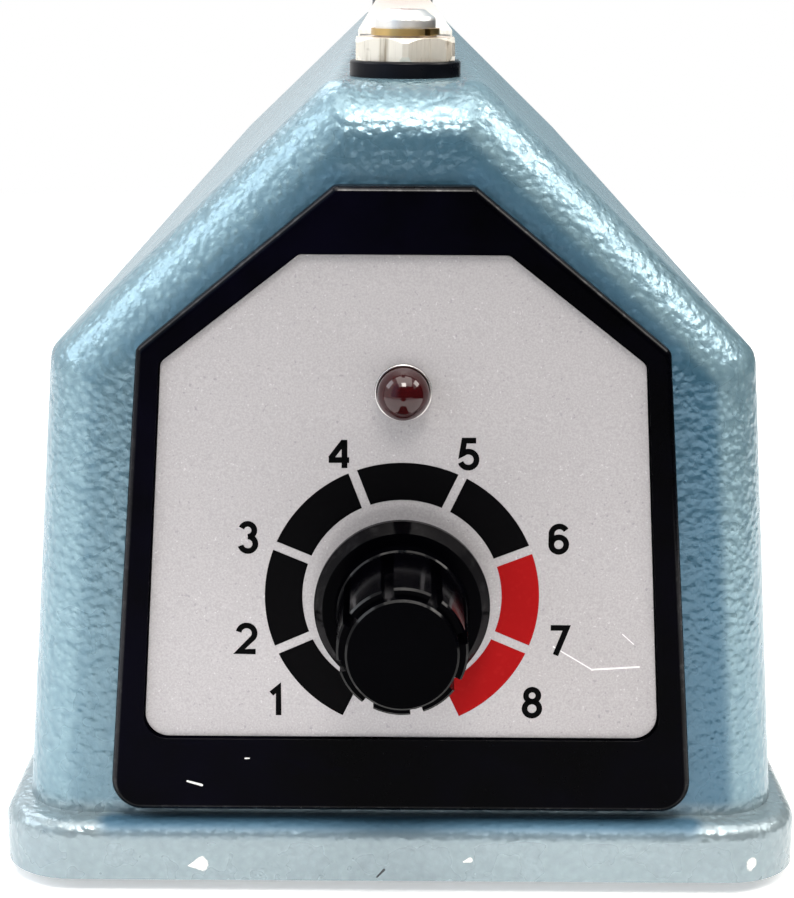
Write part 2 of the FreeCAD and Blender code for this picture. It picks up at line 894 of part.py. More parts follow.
def make_lamp():
    back = PLATE_FACE + d.lens_back
    dome = doc.addObject("Part::Sphere", "lens_dome")
    bind(dome, "Radius", d.lamp_radius)
    put(dome, (0, 0, d.lens_rise))
    barrel = rod("lens_barrel", d.lamp_radius, back + d.lens_rise, (0, 0, -back))
    wide = d.lamp_radius + d.lens_lip
    collar = rod("lens_collar", wide, d.lens_lip_thick, (0, 0, -back - d.lens_lip_thick))
    lens = fuse("lens_done", dome, barrel, collar)
    keep(put(lens, on_panel(0, d.lamp_up, PLATE_FACE), PANEL), "indicator_lens")
    inner = wide + d.run_gap
    floor = -d.lens_back - d.lens_lip_thick - d.run_gap
    holder = turned("holder_body", [
        (0, -d.holder_depth),
        (d.holder_radius, -d.holder_depth),
        (d.holder_radius, -d.run_gap),
        (inner, -d.run_gap),
        (inner, floor),
        (0, floor),
    ])
    keep(put(holder, on_panel(0, d.lamp_up, 0), PANEL), "lamp_holder")


def make_knob():
    """Skirted, ribbed time knob on the control's shaft."""
    low = d.knob_gap
    top = d.knob_gap + d.knob_height
    seat = top - d.knob_roof
    ledge = low + d.knob_ledge
    step = ledge + d.knob_step
    crown = top - d.knob_cap_rise
    profile = [
        (d.shaft_radius, low),
        (d.knob_skirt, low),
        (d.knob_skirt, low + d.knob_rim),
        (d.knob_ledge_radius, ledge),
        (d.knob_step_radius + d.knob_edge, ledge),
        (d.knob_step_radius, step),
        (d.knob_barrel + d.knob_edge, step + d.knob_edge),
        (d.knob_barrel, crown - d.knob_edge),
        (d.knob_barrel - d.knob_edge, crown),
        (d.knob_cap, crown),
        (d.knob_cap, top - d.knob_edge),
        (d.knob_cap - d.knob_edge, top),
        (0, top),
        (0, seat),
        (d.shaft_radius, seat),
    ]
    body = turned("knob_body", profile)
    flute = outline(body, "XY_Plane", flute_points(), "flute_outline")
    groove = body.newObject("PartDesign::Pocket", "flute_cut")
    groove.Profile = flute
    groove.SideType = "One side"
    groove.Reversed = True
    groove.Type = "Length"
    flute.AttachmentOffset = FreeCAD.Placement(Vector(0, 0, float(step + d.knob_edge)), UP)
    bind(groove, "Length", d.knob_height)
    body.Tip = groove
    doc.recompute()
    ring = body.newObject("PartDesign::PolarPattern", "flute_ring")
    ring.Originals = [groove]
    ring.Axis = (flute, ["N_Axis"])
    ring.Angle = 360
    ring.Occurrences = int(d.knob_ribs.value)
    body.Tip = ring
    doc.recompute()
    at = on_panel(0, d.dial_up, PLATE_FACE)
    keep(put(body, at, PANEL * KNOB_TURN), "control_knob")
    tail = -d.shaft_tail
    shaft = turned("shaft_body", [(0, tail), (d.shaft_radius, tail), (d.shaft_radius, seat), (0, seat)])
    keep(put(shaft, at, PANEL), "pot_shaft")


def flute_points():
    """Groove between two ribs, seen along the knob."""
    inner, outer = d.knob_cap, d.knob_skirt
    return [
        (inner, -d.flute_floor),
        (outer, -d.flute_mouth),
        (outer, d.flute_mouth),
        (inner, d.flute_floor),
    ]


def make_control():
    bore = d.shaft_radius + d.run_gap
    neck = PLATE_FACE + d.pot_washer_thick + d.pot_nut_height
    case = turned("pot_case", [
        (bore, -d.pot_depth),
        (d.pot_radius, -d.pot_depth),
        (d.pot_radius, 0),
        (d.pot_neck, 0),
        (d.pot_neck, neck),
        (bore, neck),
    ])
    lid_low = -d.pot_depth - d.pot_lid
    lid = rod("pot_lid", d.pot_radius, d.pot_lid, (0, 0, lid_low))
    tag_sizes = (d.pot_tag_width, d.pot_tag_length, d.pot_tag_thick)
    tags = []
    for index, side in enumerate((-1, 0, 1)):
        at = (side * d.pot_tag_pitch, lid_low, lid_low + d.pot_tag_thick)
        tags.append(block("pot_tag_{}".format(index), tag_sizes, at))
    keep(put(fuse("pot_done", case, lid, *tags), on_panel(0, d.dial_up, 0), PANEL), "pot_body")
    washer = pierced("pot_washer_ring", d.pot_washer, d.dial_hole, d.pot_washer_thick)
    keep(put(washer, on_panel(0, d.dial_up, PLATE_FACE), PANEL), "pot_washer")
    nut = hex_nut("pot_hex", d.pot_nut_flats, d.pot_neck + d.run_gap, d.pot_nut_height)
    nut_at = on_panel(0, d.dial_up, PLATE_FACE + d.pot_washer_thick)
    keep(put(nut, nut_at, PANEL), "pot_nut")


def make_bed():
    length = d.bed_rear - d.bed_front
    middle = (d.bed_rear + d.bed_front) / 2
    bar = block("bed_block", (d.bed_half * 2, length, d.bed_height), (0, middle, RIDGE))
    keep(bar, "bed_bar")
    height = RIDGE + d.bed_height
    span = d.terminal_rear - d.terminal_front
    centre = (d.terminal_rear + d.terminal_front) / 2
    ribbon = block("ribbon", (d.element_half * 2, span, d.element_thick), (0, centre, height))
    eyes = []
    holes = []
    for index, along in enumerate((d.terminal_front, d.terminal_rear)):
        eyes.append(rod("eye_{}".format(index), d.eye_radius, d.element_thick, (0, along, height)))
        low = height - d.over
        holes.append(rod("eye_hole_{}".format(index), d.eye_hole, d.over * 2, (0, along, low)))
    keep(cut("element_done", fuse("element_whole", ribbon, *eyes), *holes), "heating_element")
    skin = d.bed_height + d.element_thick
    wide = (d.bed_half + d.tape_thick) * 2
    beyond = length + d.over * 2
    outer = block("tape_outer", (wide, length, skin + d.tape_thick), (0, middle, RIDGE))
    inner = block("tape_inner", (d.bed_half * 2, beyond, d.bed_height), (0, middle, RIDGE))
    slot = d.element_half * 2 + d.tape_gap * 2
    groove = block("tape_groove", (slot, beyond, skin), (0, middle, RIDGE))
    keep(cut("tape_done", outer, inner, groove), "ptfe_tape")


def make_terminals():
    spots = (d.terminal_front, d.terminal_rear)
    disc = turned("disc", [
        (d.disc_bore, -d.disc_neck_depth),
        (d.disc_neck, -d.disc_neck_depth),
        (d.disc_neck, 0),
        (d.disc_radius, 0),
        (d.disc_radius, d.disc_thick),
        (d.disc_bore, d.disc_thick),
    ])
    top_edge = d.disc_thick.value - TOUCH
    softened(disc, d.disc_edge, lambda e: is_ring(e, (d.disc_radius.value,), top_edge))
    copies("terminal_insulators", disc, [((0, y, RIDGE), UP) for y in spots])
    rise = d.bed_height - d.disc_thick
    head = padded("post_head", "XY_Plane", hexagon(d.nut_flats), rise, "One side")
    face = d.nut_flats * d.crown_face
    corner = d.nut_flats * d.crown_corner
    crown = turned("post_crown", [
        (0, -d.over),
        (face, -d.over),
        (corner, rise * d.crown_start),
        (corner, rise - rise * d.crown_start),
        (face, rise + d.run_gap),
        (0, rise + d.run_gap),
    ])
    hexed = common("post_hex", head, crown)
    shank = rod("post_shank", d.post_shank, d.post_shank_length, (0, 0, -d.post_shank_length))
    drill_length = d.post_tap_depth + rise + d.over
    drill = rod("post_drill", d.post_tap, drill_length, (0, 0, -d.post_tap_depth))
    post = cut("post_done", fuse("post_whole", hexed, shank), drill)
    copies("terminal_posts", post, [((0, y, RIDGE + d.disc_thick), UP) for y in spots])
    ring = pierced("lock_ring", d.lock_radius, d.lock_bore, d.lock_thick)
    split_sizes = (d.lock_radius + d.over, d.lock_split, d.lock_thick + d.over * 2)
    split = block("lock_split", split_sizes, (split_sizes[0] / 2, 0, -d.over))
    lock = cut("lock_washer", ring, split)
    height = RIDGE + d.bed_height + d.element_thick
    copies("terminal_washers", lock, [((0, y, height), LOCK_TURN) for y in spots])
    places = [((0, y, height + d.lock_thick), SCREW_TURN) for y in spots]
    copies("terminal_screws", pan_screw("wire_screw"), places)
    under = RIDGE - d.wall - d.inner_thick
    washer = pierced("inner_ring", d.inner_radius, d.top_hole, d.inner_thick)
    copies("inner_insulators", washer, [((0, y, under), UP) for y in spots])
    nut = hex_nut("inner_hex", d.inner_flats, d.post_shank + d.run_gap, d.inner_nut)
    low = under - d.inner_nut - d.inner_gap
    copies("terminal_nuts", nut, [((0, y, low), UP) for y in spots])


def make_hinge():
    foot_sizes = (d.hinge_foot_half * 2, d.hinge_foot_length, d.hinge_foot_thick)
    foot = block("hinge_foot", foot_sizes, (0, d.pivot_y, RIDGE))
    crest = RIDGE + d.pivot_rise + d.hinge_half_length
    reach = d.hinge_half_length
    floor = RIDGE + d.hinge_foot_thick
    side = [(-reach, RIDGE), (reach, RIDGE), (reach, crest), (-reach, crest)]
    tongue = padded("hinge_tongue", "YZ_Plane", side, d.hinge_half * 2)
    peak = crest.value - TOUCH
    softened(tongue, d.hinge_round, lambda e: e.CenterOfMass.z > peak and across_edge(e))
    put(tongue, (0, d.pivot_y, 0))
    pin_at = (-d.through, d.pivot_y, PIVOT[2])
    drills = [rod("hinge_pin_hole", d.pin_radius + d.pin_fit, d.through * 2, pin_at, ALONG_X)]
    for index, along in enumerate(bracket_places()):
        at = (0, along, RIDGE - d.through / 2)
        drills.append(rod("hinge_foot_{}".format(index), d.bracket_hole, d.through, at))
    keep(cut("hinge_done", fuse("hinge_whole", foot, tongue), *drills), "hinge_post")
    places = [((0, along, floor), UP) for along in bracket_places()]
    copies("bracket_screws", pan_screw("bracket_screw"), places)
    outside = d.arm_half + d.pin_play
    head_end = -outside - d.pin_head_thick
    tip = outside + d.pin_tip
    pin = turned("pin_body", [
        (0, head_end),
        (d.pin_head, head_end),
        (d.pin_head, -outside),
        (d.pin_radius, -outside),
        (d.pin_radius, tip),
        (0, tip),
    ])
    slot = pierced("pin_slot", d.pin_head, d.pin_neck, d.clip_thick + d.run_gap * 2)
    put(slot, (0, 0, outside))
    keep(put(cut("pin_done", pin, slot), PIVOT, ALONG_X), "hinge_pin")
    ring = pierced("clip_ring", d.clip_radius, d.pin_neck + d.pin_fit, d.clip_thick)
    mouth_sizes = (d.clip_mouth, d.clip_radius * 2, d.clip_thick + d.over * 2)
    mouth = block("clip_mouth", mouth_sizes, (0, d.clip_radius, -d.over))
    clip = cut("clip_done", ring, mouth)
    keep(put(clip, (outside + d.run_gap, PIVOT[1], PIVOT[2]), ALONG_X), "pin_clip")


def make_arm():
    reach, drop = -d.arm_reach, -d.arm_drop
    side = [
        (d.arm_tail, drop),
        (d.arm_tail, d.arm_drop),
        (-d.arm_back, d.arm_drop),
        (-d.arm_waist, d.arm_front_top),
        (reach, d.arm_front_top),
        (reach, drop),
    ]
    lever = padded("arm_lever", "YZ_Plane", side, d.arm_half * 2)
    tail, nose = d.arm_tail.value - TOUCH, reach.value + TOUCH
    softened(lever, d.arm_tail_round, lambda e: e.CenterOfMass.y > tail and across_edge(e))
    softened(lever, d.arm_nose_round, lambda e: e.CenterOfMass.y < nose and across_edge(e))
    half = d.arm_half.value - TOUCH
    softened(lever, d.arm_edge, lambda e: abs(e.CenterOfMass.x) > half)
    hole = rod("arm_hole", d.bush_radius + d.pin_fit, d.through * 2, (-d.through, 0, 0), ALONG_X)
    taps = []
    for index, along in enumerate(handle_places()):
        at = (0, along, -d.through)
        taps.append(rod("handle_tap_{}".format(index), d.handle_tap, d.through * 2, at))
    gap = d.hinge_half + d.fork_gap
    fork_sizes = (gap * 2, d.fork_depth + d.through, d.arm_drop * 4)
    fork_at = (0, (d.through - d.fork_depth) / 2, -d.arm_drop * 2)
    fork = block("arm_fork", fork_sizes, fork_at)
    keep(put(cut("arm_done", lever, hole, fork, *taps), PIVOT, OPENED), "arm")
    bush = pierced("bush_ring", d.bush_radius, d.pin_radius + d.run_gap, d.arm_half - gap)
    places = [((start, PIVOT[1], PIVOT[2]), ALONG_X) for start in (-d.arm_half, gap)]
    copies("arm_bush", bush, places)
    make_jaw()
    make_handle()


def make_jaw():
    """Pressure bar under the arm, with its soft strip."""
    start = d.bed_front - d.pivot_y - d.bar_over
    end = d.bed_rear - d.pivot_y + d.bar_over
    length, middle = end - start, (start + end) / 2
    low = -d.arm_drop - d.bar_thick
    bar = block("bar_block", (d.bar_width, length, d.bar_thick), (0, middle, low))
    slot_sizes = (d.strip_width + d.tape_gap, length + d.over * 2, d.strip_sunk + d.over)
    slot = block("bar_slot", slot_sizes, (0, middle, low - d.over))
    keep(put(cut("bar_done", bar, slot), PIVOT, OPENED), "pressure_bar")
    strip_length = length - d.over * 2
    strip_low = low + d.strip_sunk - d.strip_thick
    sizes = (d.strip_width, strip_length, d.strip_thick)
    strip = block("strip_block", sizes, (0, middle, strip_low))
    under = strip_low.value + TOUCH

    def lower_long(edge):
        return edge.CenterOfMass.z < under and edge.Length > strip_length.value - TOUCH

    strip = rounded("strip_round", strip, [(lower_long, d.strip_edge)])
    keep(put(strip, PIVOT, OPENED), "silicone_strip")


def handle_places():
    """Places along the arm of the grip's two screws."""
    return [-d.handle_screw_rear, -d.handle_screw_front]


def make_handle():
    """Black grip that stands on the front end of the arm."""
    base, crest = d.arm_front_top.value, d.handle_crest.value
    rear, front = -d.handle_rear.value, -d.handle_front.value
    rise = crest - base
    shares = [(0.0, 0.0), (0.03, 0.16), (0.14, 0.52), (0.36, 0.87), (0.60, 1.0), (0.82, 0.93),
              (0.96, 0.56), (1.0, 0.0)]
    points = [Vector(0, rear + (front - rear) * along, base + rise * up) for along, up in shares]
    curve = Part.BSplineCurve()
    curve.interpolate(points)
    rim = [curve.toShape(), Part.LineSegment(points[-1], points[0]).toShape()]
    half = d.handle_half.value
    outer = Part.Face(Part.Wire(rim))
    outer.translate(Vector(-half, 0, 0))
    grip = outer.extrude(Vector(half * 2, 0, 0))
    sides = [edge for edge in grip.Edges if isinstance(edge.Curve, Part.BSplineCurve)]
    item = doc.addObject("Part::Feature", "grip")
    item.Shape = grip.makeFillet(d.handle_edge.value, sides)
    pilots = []
    for index, along in enumerate(handle_places()):
        at = (0, along, d.arm_front_top - d.over)
        depth = d.handle_pilot_depth + d.over
        pilots.append(rod("grip_pilot_{}".format(index), d.handle_pilot, depth, at))
    keep(put(cut("grip_done", item, *pilots), PIVOT, OPENED), "handle")
    turn = OPENED * TURN_OVER
    places = [(on_arm(0, along, -d.arm_drop), turn) for along in handle_places()]
    copies("handle_screws", pan_screw("handle_screw"), places)


def rod_travel():
    """How far the closing arm presses the push rod down."""
    arm = d.pivot_y - d.rod_y
    tilt = trig("tan", d.open_angle) * arm
    return tilt - d.arm_drop * (1 / math.cos(math.radians(d.open_angle.value)) - 1)


def rod_centre():
    """Height of the push rod's round top, centre of its ball, at rest."""
    cosine = math.cos(math.radians(d.open_angle.value))
    under = RIDGE + d.pivot_rise - d.arm_drop / cosine
    under = under + trig("tan", d.open_angle) * (d.pivot_y - d.rod_y)
    return under - (d.rod_radius + d.rod_gap) / cosine


def make_push_rod():
    centre = rod_centre()
    low = RIDGE - d.rod_below
    tip = doc.addObject("Part::Cone", "rod_tip")
    bind(tip, "Radius1", d.rod_radius / 3)
    bind(tip, "Radius2", d.rod_radius)
    bind(tip, "Height", d.rod_tip)
    put(tip, (0, d.rod_y, low))
    stem_low = low + d.rod_tip
    stem = rod("rod_stem", d.rod_radius, centre - stem_low, (0, d.rod_y, stem_low))
    ball = doc.addObject("Part::Sphere", "rod_ball")
    bind(ball, "Radius", d.rod_radius)
    put(ball, (0, d.rod_y, centre))
    collar_low = centre - d.collar_drop
    collar = rod("rod_collar", d.collar_radius, d.collar_thick, (0, d.rod_y, collar_low))
    keep(fuse("rod_done", tip, stem, ball, collar), "push_rod")
    bore = d.rod_radius + d.run_gap
    guide = turned("guide_body", [
        (bore, -d.guide_depth),
        (d.guide_radius, -d.guide_depth),
        (d.guide_radius, 0),
        (d.guide_flange, 0),
        (d.guide_flange, d.guide_thick),
        (bore, d.guide_thick),
    ])
    keep(put(guide, (0, d.rod_y, RIDGE)), "rod_guide")
    make_spring(RIDGE.value + d.guide_thick.value, collar_low.value)


def biarc(start, start_way, end, end_way):
    """Two arcs that join two points with the given directions."""
    gap = end - start
    both = start_way + end_way
    spread = 2 * (1 - start_way.dot(end_way))
    lead = gap.dot(both)
    reach = (-lead + math.sqrt(lead * lead + spread * gap.dot(gap))) / spread
    joint = (start + end + (start_way - end_way) * reach) * 0.5
    return [bend(start, start_way, joint), bend(end, end_way * -1, joint)]


def bend(start, way, end):
    """Arc from a point and direction to another point."""
    chord = end - start
    line = Vector(chord).normalize()
    angle = math.acos(max(-1.0, min(1.0, way.dot(line))))
    side = Vector(way - line * way.dot(line)).normalize()
    middle = (start + end) * 0.5 + side * (chord.Length * 0.5 * math.tan(angle * 0.5))
    return Part.Arc(start, middle, end).toShape()


# how the spring wire rises into its first turn, in wire radii, and how far it sweeps
SPRING_END_RISE = 2.4
SPRING_END_SWEEP = 1.6


def make_spring(low, high):
    """Return spring round the push rod, one unbroken wire with square ends."""
    radius, wire = d.spring_radius.value, d.wire_radius.value
    turns = d.spring_turns.value
    axis = Vector(0, d.rod_y.value, 0)
    lead_in = wire * 2
    rise_in = wire * SPRING_END_RISE
    sweep = rise_in / radius * SPRING_END_SWEEP
    bottom, top = low + lead_in + rise_in, high - lead_in - rise_in
    full = turns * 2 * math.pi

    def on_helix(turn):
        height = bottom + (top - bottom) * turn / full
        point = axis + Vector(radius * math.cos(turn), radius * math.sin(turn), height)
        rise = (top - bottom) / full
        way = Vector(-radius * math.sin(turn), radius * math.cos(turn), rise).normalize()
        return point, way

    def end_post(turn, height):
        return axis + Vector(radius * math.cos(turn), radius * math.sin(turn), height)

    steps = int(turns * 4)
    stations = [on_helix(full * step / steps) for step in range(steps + 1)]
    foot, head = end_post(-sweep, low), end_post(full + sweep, high)
    upright = Vector(0, 0, 1)
    edges = [Part.LineSegment(foot, foot + upright * lead_in).toShape()]
    edges += biarc(foot + upright * lead_in, upright, *stations[0])
    for first, second in zip(stations, stations[1:]):
        edges += biarc(*first, *second)
    edges += biarc(*stations[-1], head - upright * lead_in, upright)
    edges.append(Part.LineSegment(head - upright * lead_in, head).toShape())
    path = Part.Wire(Part.__sortEdges__(edges))
    ring = Part.Wire([Part.Circle(foot, upright, wire).toShape()])
    solid = path.makePipeShell([ring], True, False)
    item = doc.addObject("Part::Feature", "return_spring")
    item.Shape = solid
    keep(item, "return_spring")
    pitch = (top - bottom) / turns
    print("return spring: least gap between turns {:.2f} mm".format(pitch - 2 * wire))
    print("return spring: volume {:.3f} against {:.3f}".format(
        solid.Volume, path.Length * math.pi * wire ** 2))


def switch_places():
    """Places along the object of the micro switch's two screws."""
    middle = d.rod_y + d.switch_middle
    return [middle + side * d.switch_hole_spread for side in (-1, 1)]


def make_switch():
    travel = rod_travel()
    hinge_y = d.rod_y + d.switch_reach
    hinge_z = RIDGE - d.rod_below - d.lever_gap - travel
    top = hinge_z - d.switch_hinge_rise
    low = top - d.switch_height
    screw_z = top - d.switch_hole_drop
    tilt = math.degrees(math.atan(travel.value / d.switch_reach.value))
    middle = d.rod_y + d.switch_middle
    sizes = (d.switch_width, d.switch_length, d.switch_height)
    case = block("switch_case", sizes, (-d.switch_aside, middle, low))
    ear_sizes = (d.ear_thick, d.ear_length, d.ear_height)
    ears = []
    for index, side in enumerate((-1, 1)):
        at = (side * d.ear_apart, hinge_y, top - d.over)
        ears.append(block("switch_ear_{}".format(index), ear_sizes, at))
    pivot_at = (-d.ear_apart, hinge_y, hinge_z)
    pivot = rod("switch_pivot", d.lever_pin, d.ear_apart * 2, pivot_at, ALONG_X)
    button_y = hinge_y - d.button_reach
    slot_sizes = (d.button_width + d.button_gap, d.button_length + d.button_gap, d.button_height)
    slot = block("switch_slot", slot_sizes, (0, button_y, top + d.over - d.button_height))
    drills = []
    for index, along in enumerate(switch_places()):
        at = (-d.through / 2, along, screw_z)
        drills.append(rod("switch_hole_{}".format(index), d.switch_hole, d.through, at, ALONG_X))
    solid = fuse("switch_whole", case, *ears, pivot)
    keep(cut("switch_done", solid, slot, *drills), "micro_switch")
    half = d.lever_width / 2
    eye = rod("lever_eye", d.lever_eye, d.lever_width, (-half, 0, 0), ALONG_X)
    blade_sizes = (d.lever_width, d.lever_length, d.lever_thick)
    blade_at = (0, -d.lever_length / 2 - d.lever_pin, -d.lever_thick / 2)
    blade = block("lever_blade", blade_sizes, blade_at)
    bore_radius = d.lever_pin + d.run_gap
    bore = rod("lever_bore", bore_radius, d.through, (-d.through / 2, 0, 0), ALONG_X)
    lever = cut("lever_done", fuse("lever_whole", eye, blade), bore)
    raised = Rotation(Vector(1, 0, 0), -tilt)
    keep(put(lever, (0, hinge_y, hinge_z), raised), "switch_lever")
    press = travel * (d.button_reach.value / d.switch_reach.value)
    button_low = hinge_z + press - d.button_drop - d.button_height + d.over
    button_sizes = (d.button_width, d.button_length, d.button_height - d.over)
    keep(block("button_block", button_sizes, (0, button_y, button_low)), "switch_button")
    ceiling = RIDGE - d.wall
    plate_x = d.switch_width / 2 - d.switch_aside + d.bracket_thick / 2
    plate_sizes = (d.bracket_thick, d.bracket_length, ceiling - low)
    plate_at = (plate_x, middle + d.bracket_shift, low)
    plate = block("bracket_plate", plate_sizes, plate_at)
    shelf_sizes = (d.shelf_width, d.shelf_length, d.shelf_thick)
    shelf_x = plate_x + d.bracket_thick / 2 - d.shelf_width / 2
    shelf = block("bracket_shelf", shelf_sizes, (shelf_x, d.pivot_y, ceiling - d.shelf_thick))
    holes = []
    for index, along in enumerate(bracket_places()):
        at = (0, along, ceiling - d.through / 2)
        holes.append(rod("shelf_hole_{}".format(index), d.switch_hole, d.through, at))
    for index, along in enumerate(switch_places()):
        at = (0, along, screw_z)
        holes.append(rod("plate_hole_{}".format(index), d.switch_hole, d.through, at, ALONG_X))
    keep(cut("bracket_done", fuse("bracket_whole", plate, shelf), *holes), "switch_bracket")
    face = -d.switch_aside - d.switch_width / 2
    places = [((face, along, screw_z), AGAINST_X) for along in switch_places()]
    copies("switch_screws", pan_screw("switch_screw"), places)
    print("rod travel {:.3f} mm, lever turn {:.3f} deg, button travel {:.3f} mm".format(
        travel.value, tilt, press.value))


def strap_screws():
    """Places along the base of the transformer strap's screws."""
    reach = d.core_leg * 3 + d.strap_foot / 2
    return [d.core_middle + side * reach for side in (-1, 1)]


def make_transformer():
    leg, stack, middle = d.core_leg, d.core_stack, d.core_middle
    base = COVER_TOP
    core = block("core_block", (stack, leg * 6, leg * 5), (0, middle, base))
    windows = []
    for index, side in enumerate((-1, 1)):
        at = (0, middle + side * leg * 1.5, base + leg)
        sizes = (stack + d.over * 2, leg, leg * 3)
        windows.append(block("core_window_{}".format(index), sizes, at))
    keep(cut("core_done", core, *windows), "transformer_core")
    gap, skin = d.bobbin_gap, d.bobbin_skin
    low, tall = base + leg + gap, leg * 3 - gap * 2
    hole_sizes = (stack + gap * 2, leg * 2 + gap * 2, tall + d.over * 2)
    hole = block("bobbin_hole", hole_sizes, (0, middle, low - d.over))
    tube_sizes = (stack + (gap + skin) * 2, leg * 2 + (gap + skin) * 2, tall)
    tube = block("bobbin_tube", tube_sizes, (0, middle, low))
    cheek_sizes = (stack + d.coil_build * 2, leg * 4 - d.cheek_gap * 2, skin)
    cheeks = [block("cheek_{}".format(n), cheek_sizes, (0, middle, low + up))
              for n, up in enumerate((as_size(0), tall - skin))]
    keep(cut("bobbin_done", fuse("bobbin_whole", tube, *cheeks), hole), "transformer_bobbin")
    coil_sizes = (cheek_sizes[0] - d.coil_inset, cheek_sizes[1] - d.coil_inset, tall - skin * 2)
    coil = block("coil_block", coil_sizes, (0, middle, low + skin))
    coil_hole = block("coil_hole", tube_sizes, (0, middle, low))
    outside = coil_sizes[0].value / 2 - TOUCH

    def coil_corner(edge):
        return upright_edge(edge) and abs(edge.CenterOfMass.x) > outside

    winding = cut("coil_done", coil, coil_hole)
    keep(rounded("coil_round", winding, [(coil_corner, d.coil_round)]), "transformer_winding")
    sheet_thick, wide = d.strap_thick, stack - d.strap_inset
    roof_sizes = (wide, leg * 6 + sheet_thick * 2, sheet_thick)
    parts = [block("strap_roof", roof_sizes, (0, middle, base + leg * 5))]
    for index, side in enumerate((-1, 1)):
        wall_y = middle + side * (leg * 3 + sheet_thick / 2)
        name = "strap_leg_{}".format(index)
        parts.append(block(name, (wide, sheet_thick, leg * 5), (0, wall_y, base)))
        foot_y = middle + side * (leg * 3 + d.strap_foot / 2)
        name = "strap_foot_{}".format(index)
        parts.append(block(name, (wide, d.strap_foot, sheet_thick), (0, foot_y, base)))
    holes = []
    for index, along in enumerate(strap_screws()):
        at = (0, along, base - d.through / 2)
        holes.append(rod("strap_hole_{}".format(index), d.strap_hole, d.through, at))
    keep(cut("strap_done", fuse("strap_whole", *parts), *holes), "transformer_strap")
    places = [((0, along, base + sheet_thick), UP) for along in strap_screws()]
    copies("transformer_screws", pan_screw("strap_screw"), places)


def board_places(height):
    """Places of the board's four corner screws at one height."""
    places = []
    for across in (-1, 1):
        for along in (-1, 1):
            at = (across * d.board_hole_x, d.board_y + along * d.board_hole_y, height)
            places.append((at, UP))
    return places


def make_board():
    base = COVER_TOP
    spacer = hex_nut("spacer", d.spacer_flats, d.spacer_bore, d.board_lift)
    copies("board_standoffs", spacer, board_places(base))
    low = base + d.board_lift
    face = low + d.board_thick
    board_sizes = (d.board_width, d.board_length, d.board_thick)
    board = block("board_block", board_sizes, (0, d.board_y, low))
    holes = []
    for index, (at, turn) in enumerate(board_places(low - d.over)):
        depth = d.board_thick + d.over * 2
        holes.append(rod("board_hole_{}".format(index), d.board_hole, depth, at))
    keep(cut("board_done", board, *holes), "timer_board")
    below = [(at, TURN_OVER) for at, turn in board_places(d.rim + d.cover_recess)]
    copies("board_screws", pan_screw("board_screw"), board_places(face) + below)
    relay_sizes = (d.relay_width, d.relay_length, d.relay_height)
    block_y = d.board_y + d.relay_ahead
    relay = block("relay_block", relay_sizes, (-d.relay_aside, block_y, face))
    above = face.value + TOUCH
    relay = rounded("relay_round", relay, [(lambda e: e.CenterOfMass.z > above, d.relay_edge)])
    keep(relay, "relay")
    neck = d.can_radius - d.can_groove
    groove = d.can_foot + d.can_groove
    can = turned("can", [
        (0, 0),
        (d.can_radius, 0),
        (d.can_radius, d.can_foot),
        (neck, groove),
        (d.can_radius, groove + d.can_groove),
        (d.can_radius, d.can_height - d.can_groove),
        (neck, d.can_height),
        (0, d.can_height),
    ])
    can_y = d.board_y - d.can_behind
    spots = [(d.can_aside, can_y, face), (d.can_aside + d.can_pitch, can_y, face)]
    copies("capacitors", can, [(at, UP) for at in spots])
    chip_sizes = (d.chip_width, d.chip_length, d.chip_height)
    keep(block("chip_block", chip_sizes, (d.chip_aside, block_y, face)), "timer_chip")


def lead(label, points, radius, sweep):
    """Insulated lead of straight runs joined by tangent arcs."""
    corners = [Vector(*[float(part) for part in point]) for point in points]
    edges = []
    start = corners[0]
    for before, corner, after in zip(corners, corners[1:], corners[2:]):
        way_in = Vector(corner - before).normalize()
        way_out = Vector(after - corner).normalize()
        turn = math.acos(max(-1.0, min(1.0, way_in.dot(way_out))))
        reach = float(sweep) * math.tan(turn / 2)
        first, last = corner - way_in * reach, corner + way_out * reach
        edges.append(Part.LineSegment(start, first).toShape())
        edges.append(bend(first, way_in, last))
        start = last
    edges.append(Part.LineSegment(start, corners[-1]).toShape())
    path = Part.Wire(edges)
    way = Vector(corners[1] - corners[0]).normalize()
    ring = Part.Wire([Part.Circle(corners[0], way, float(radius)).toShape()])
    item = doc.addObject("Part::Feature", label)
    item.Shape = path.makePipeShell([ring], True, False)
    keep(item, label)


def make_leads():
    end = RIDGE + d.disc_thick - d.post_shank_length
    out = d.core_leg * 2 - d.cheek_gap - d.coil_inset / 2
    side, height = d.lead_aside, COVER_TOP + d.lead_rise
    front, rear = d.core_middle - out, d.core_middle + out
    lead("secondary_lead_front", [
        (side, front, height),
        (side, front - d.lead_front_run, height),
        (d.lead_front_in, d.terminal_front + d.lead_front_turn, d.lead_bend_height),
        (0, d.terminal_front, d.lead_foot),
        (0, d.terminal_front, end),
    ], d.lead_radius, d.lead_front_sweep)
    lead("secondary_lead_rear", [
        (side, rear, height),
        (side, rear + d.lead_rear_run, height),
        (d.lead_rear_in, d.terminal_rear - d.lead_rear_turn, d.lead_bend_height),
        (0, d.terminal_rear, d.lead_foot),
        (0, d.terminal_rear, end),
    ], d.lead_radius, d.lead_rear_sweep)


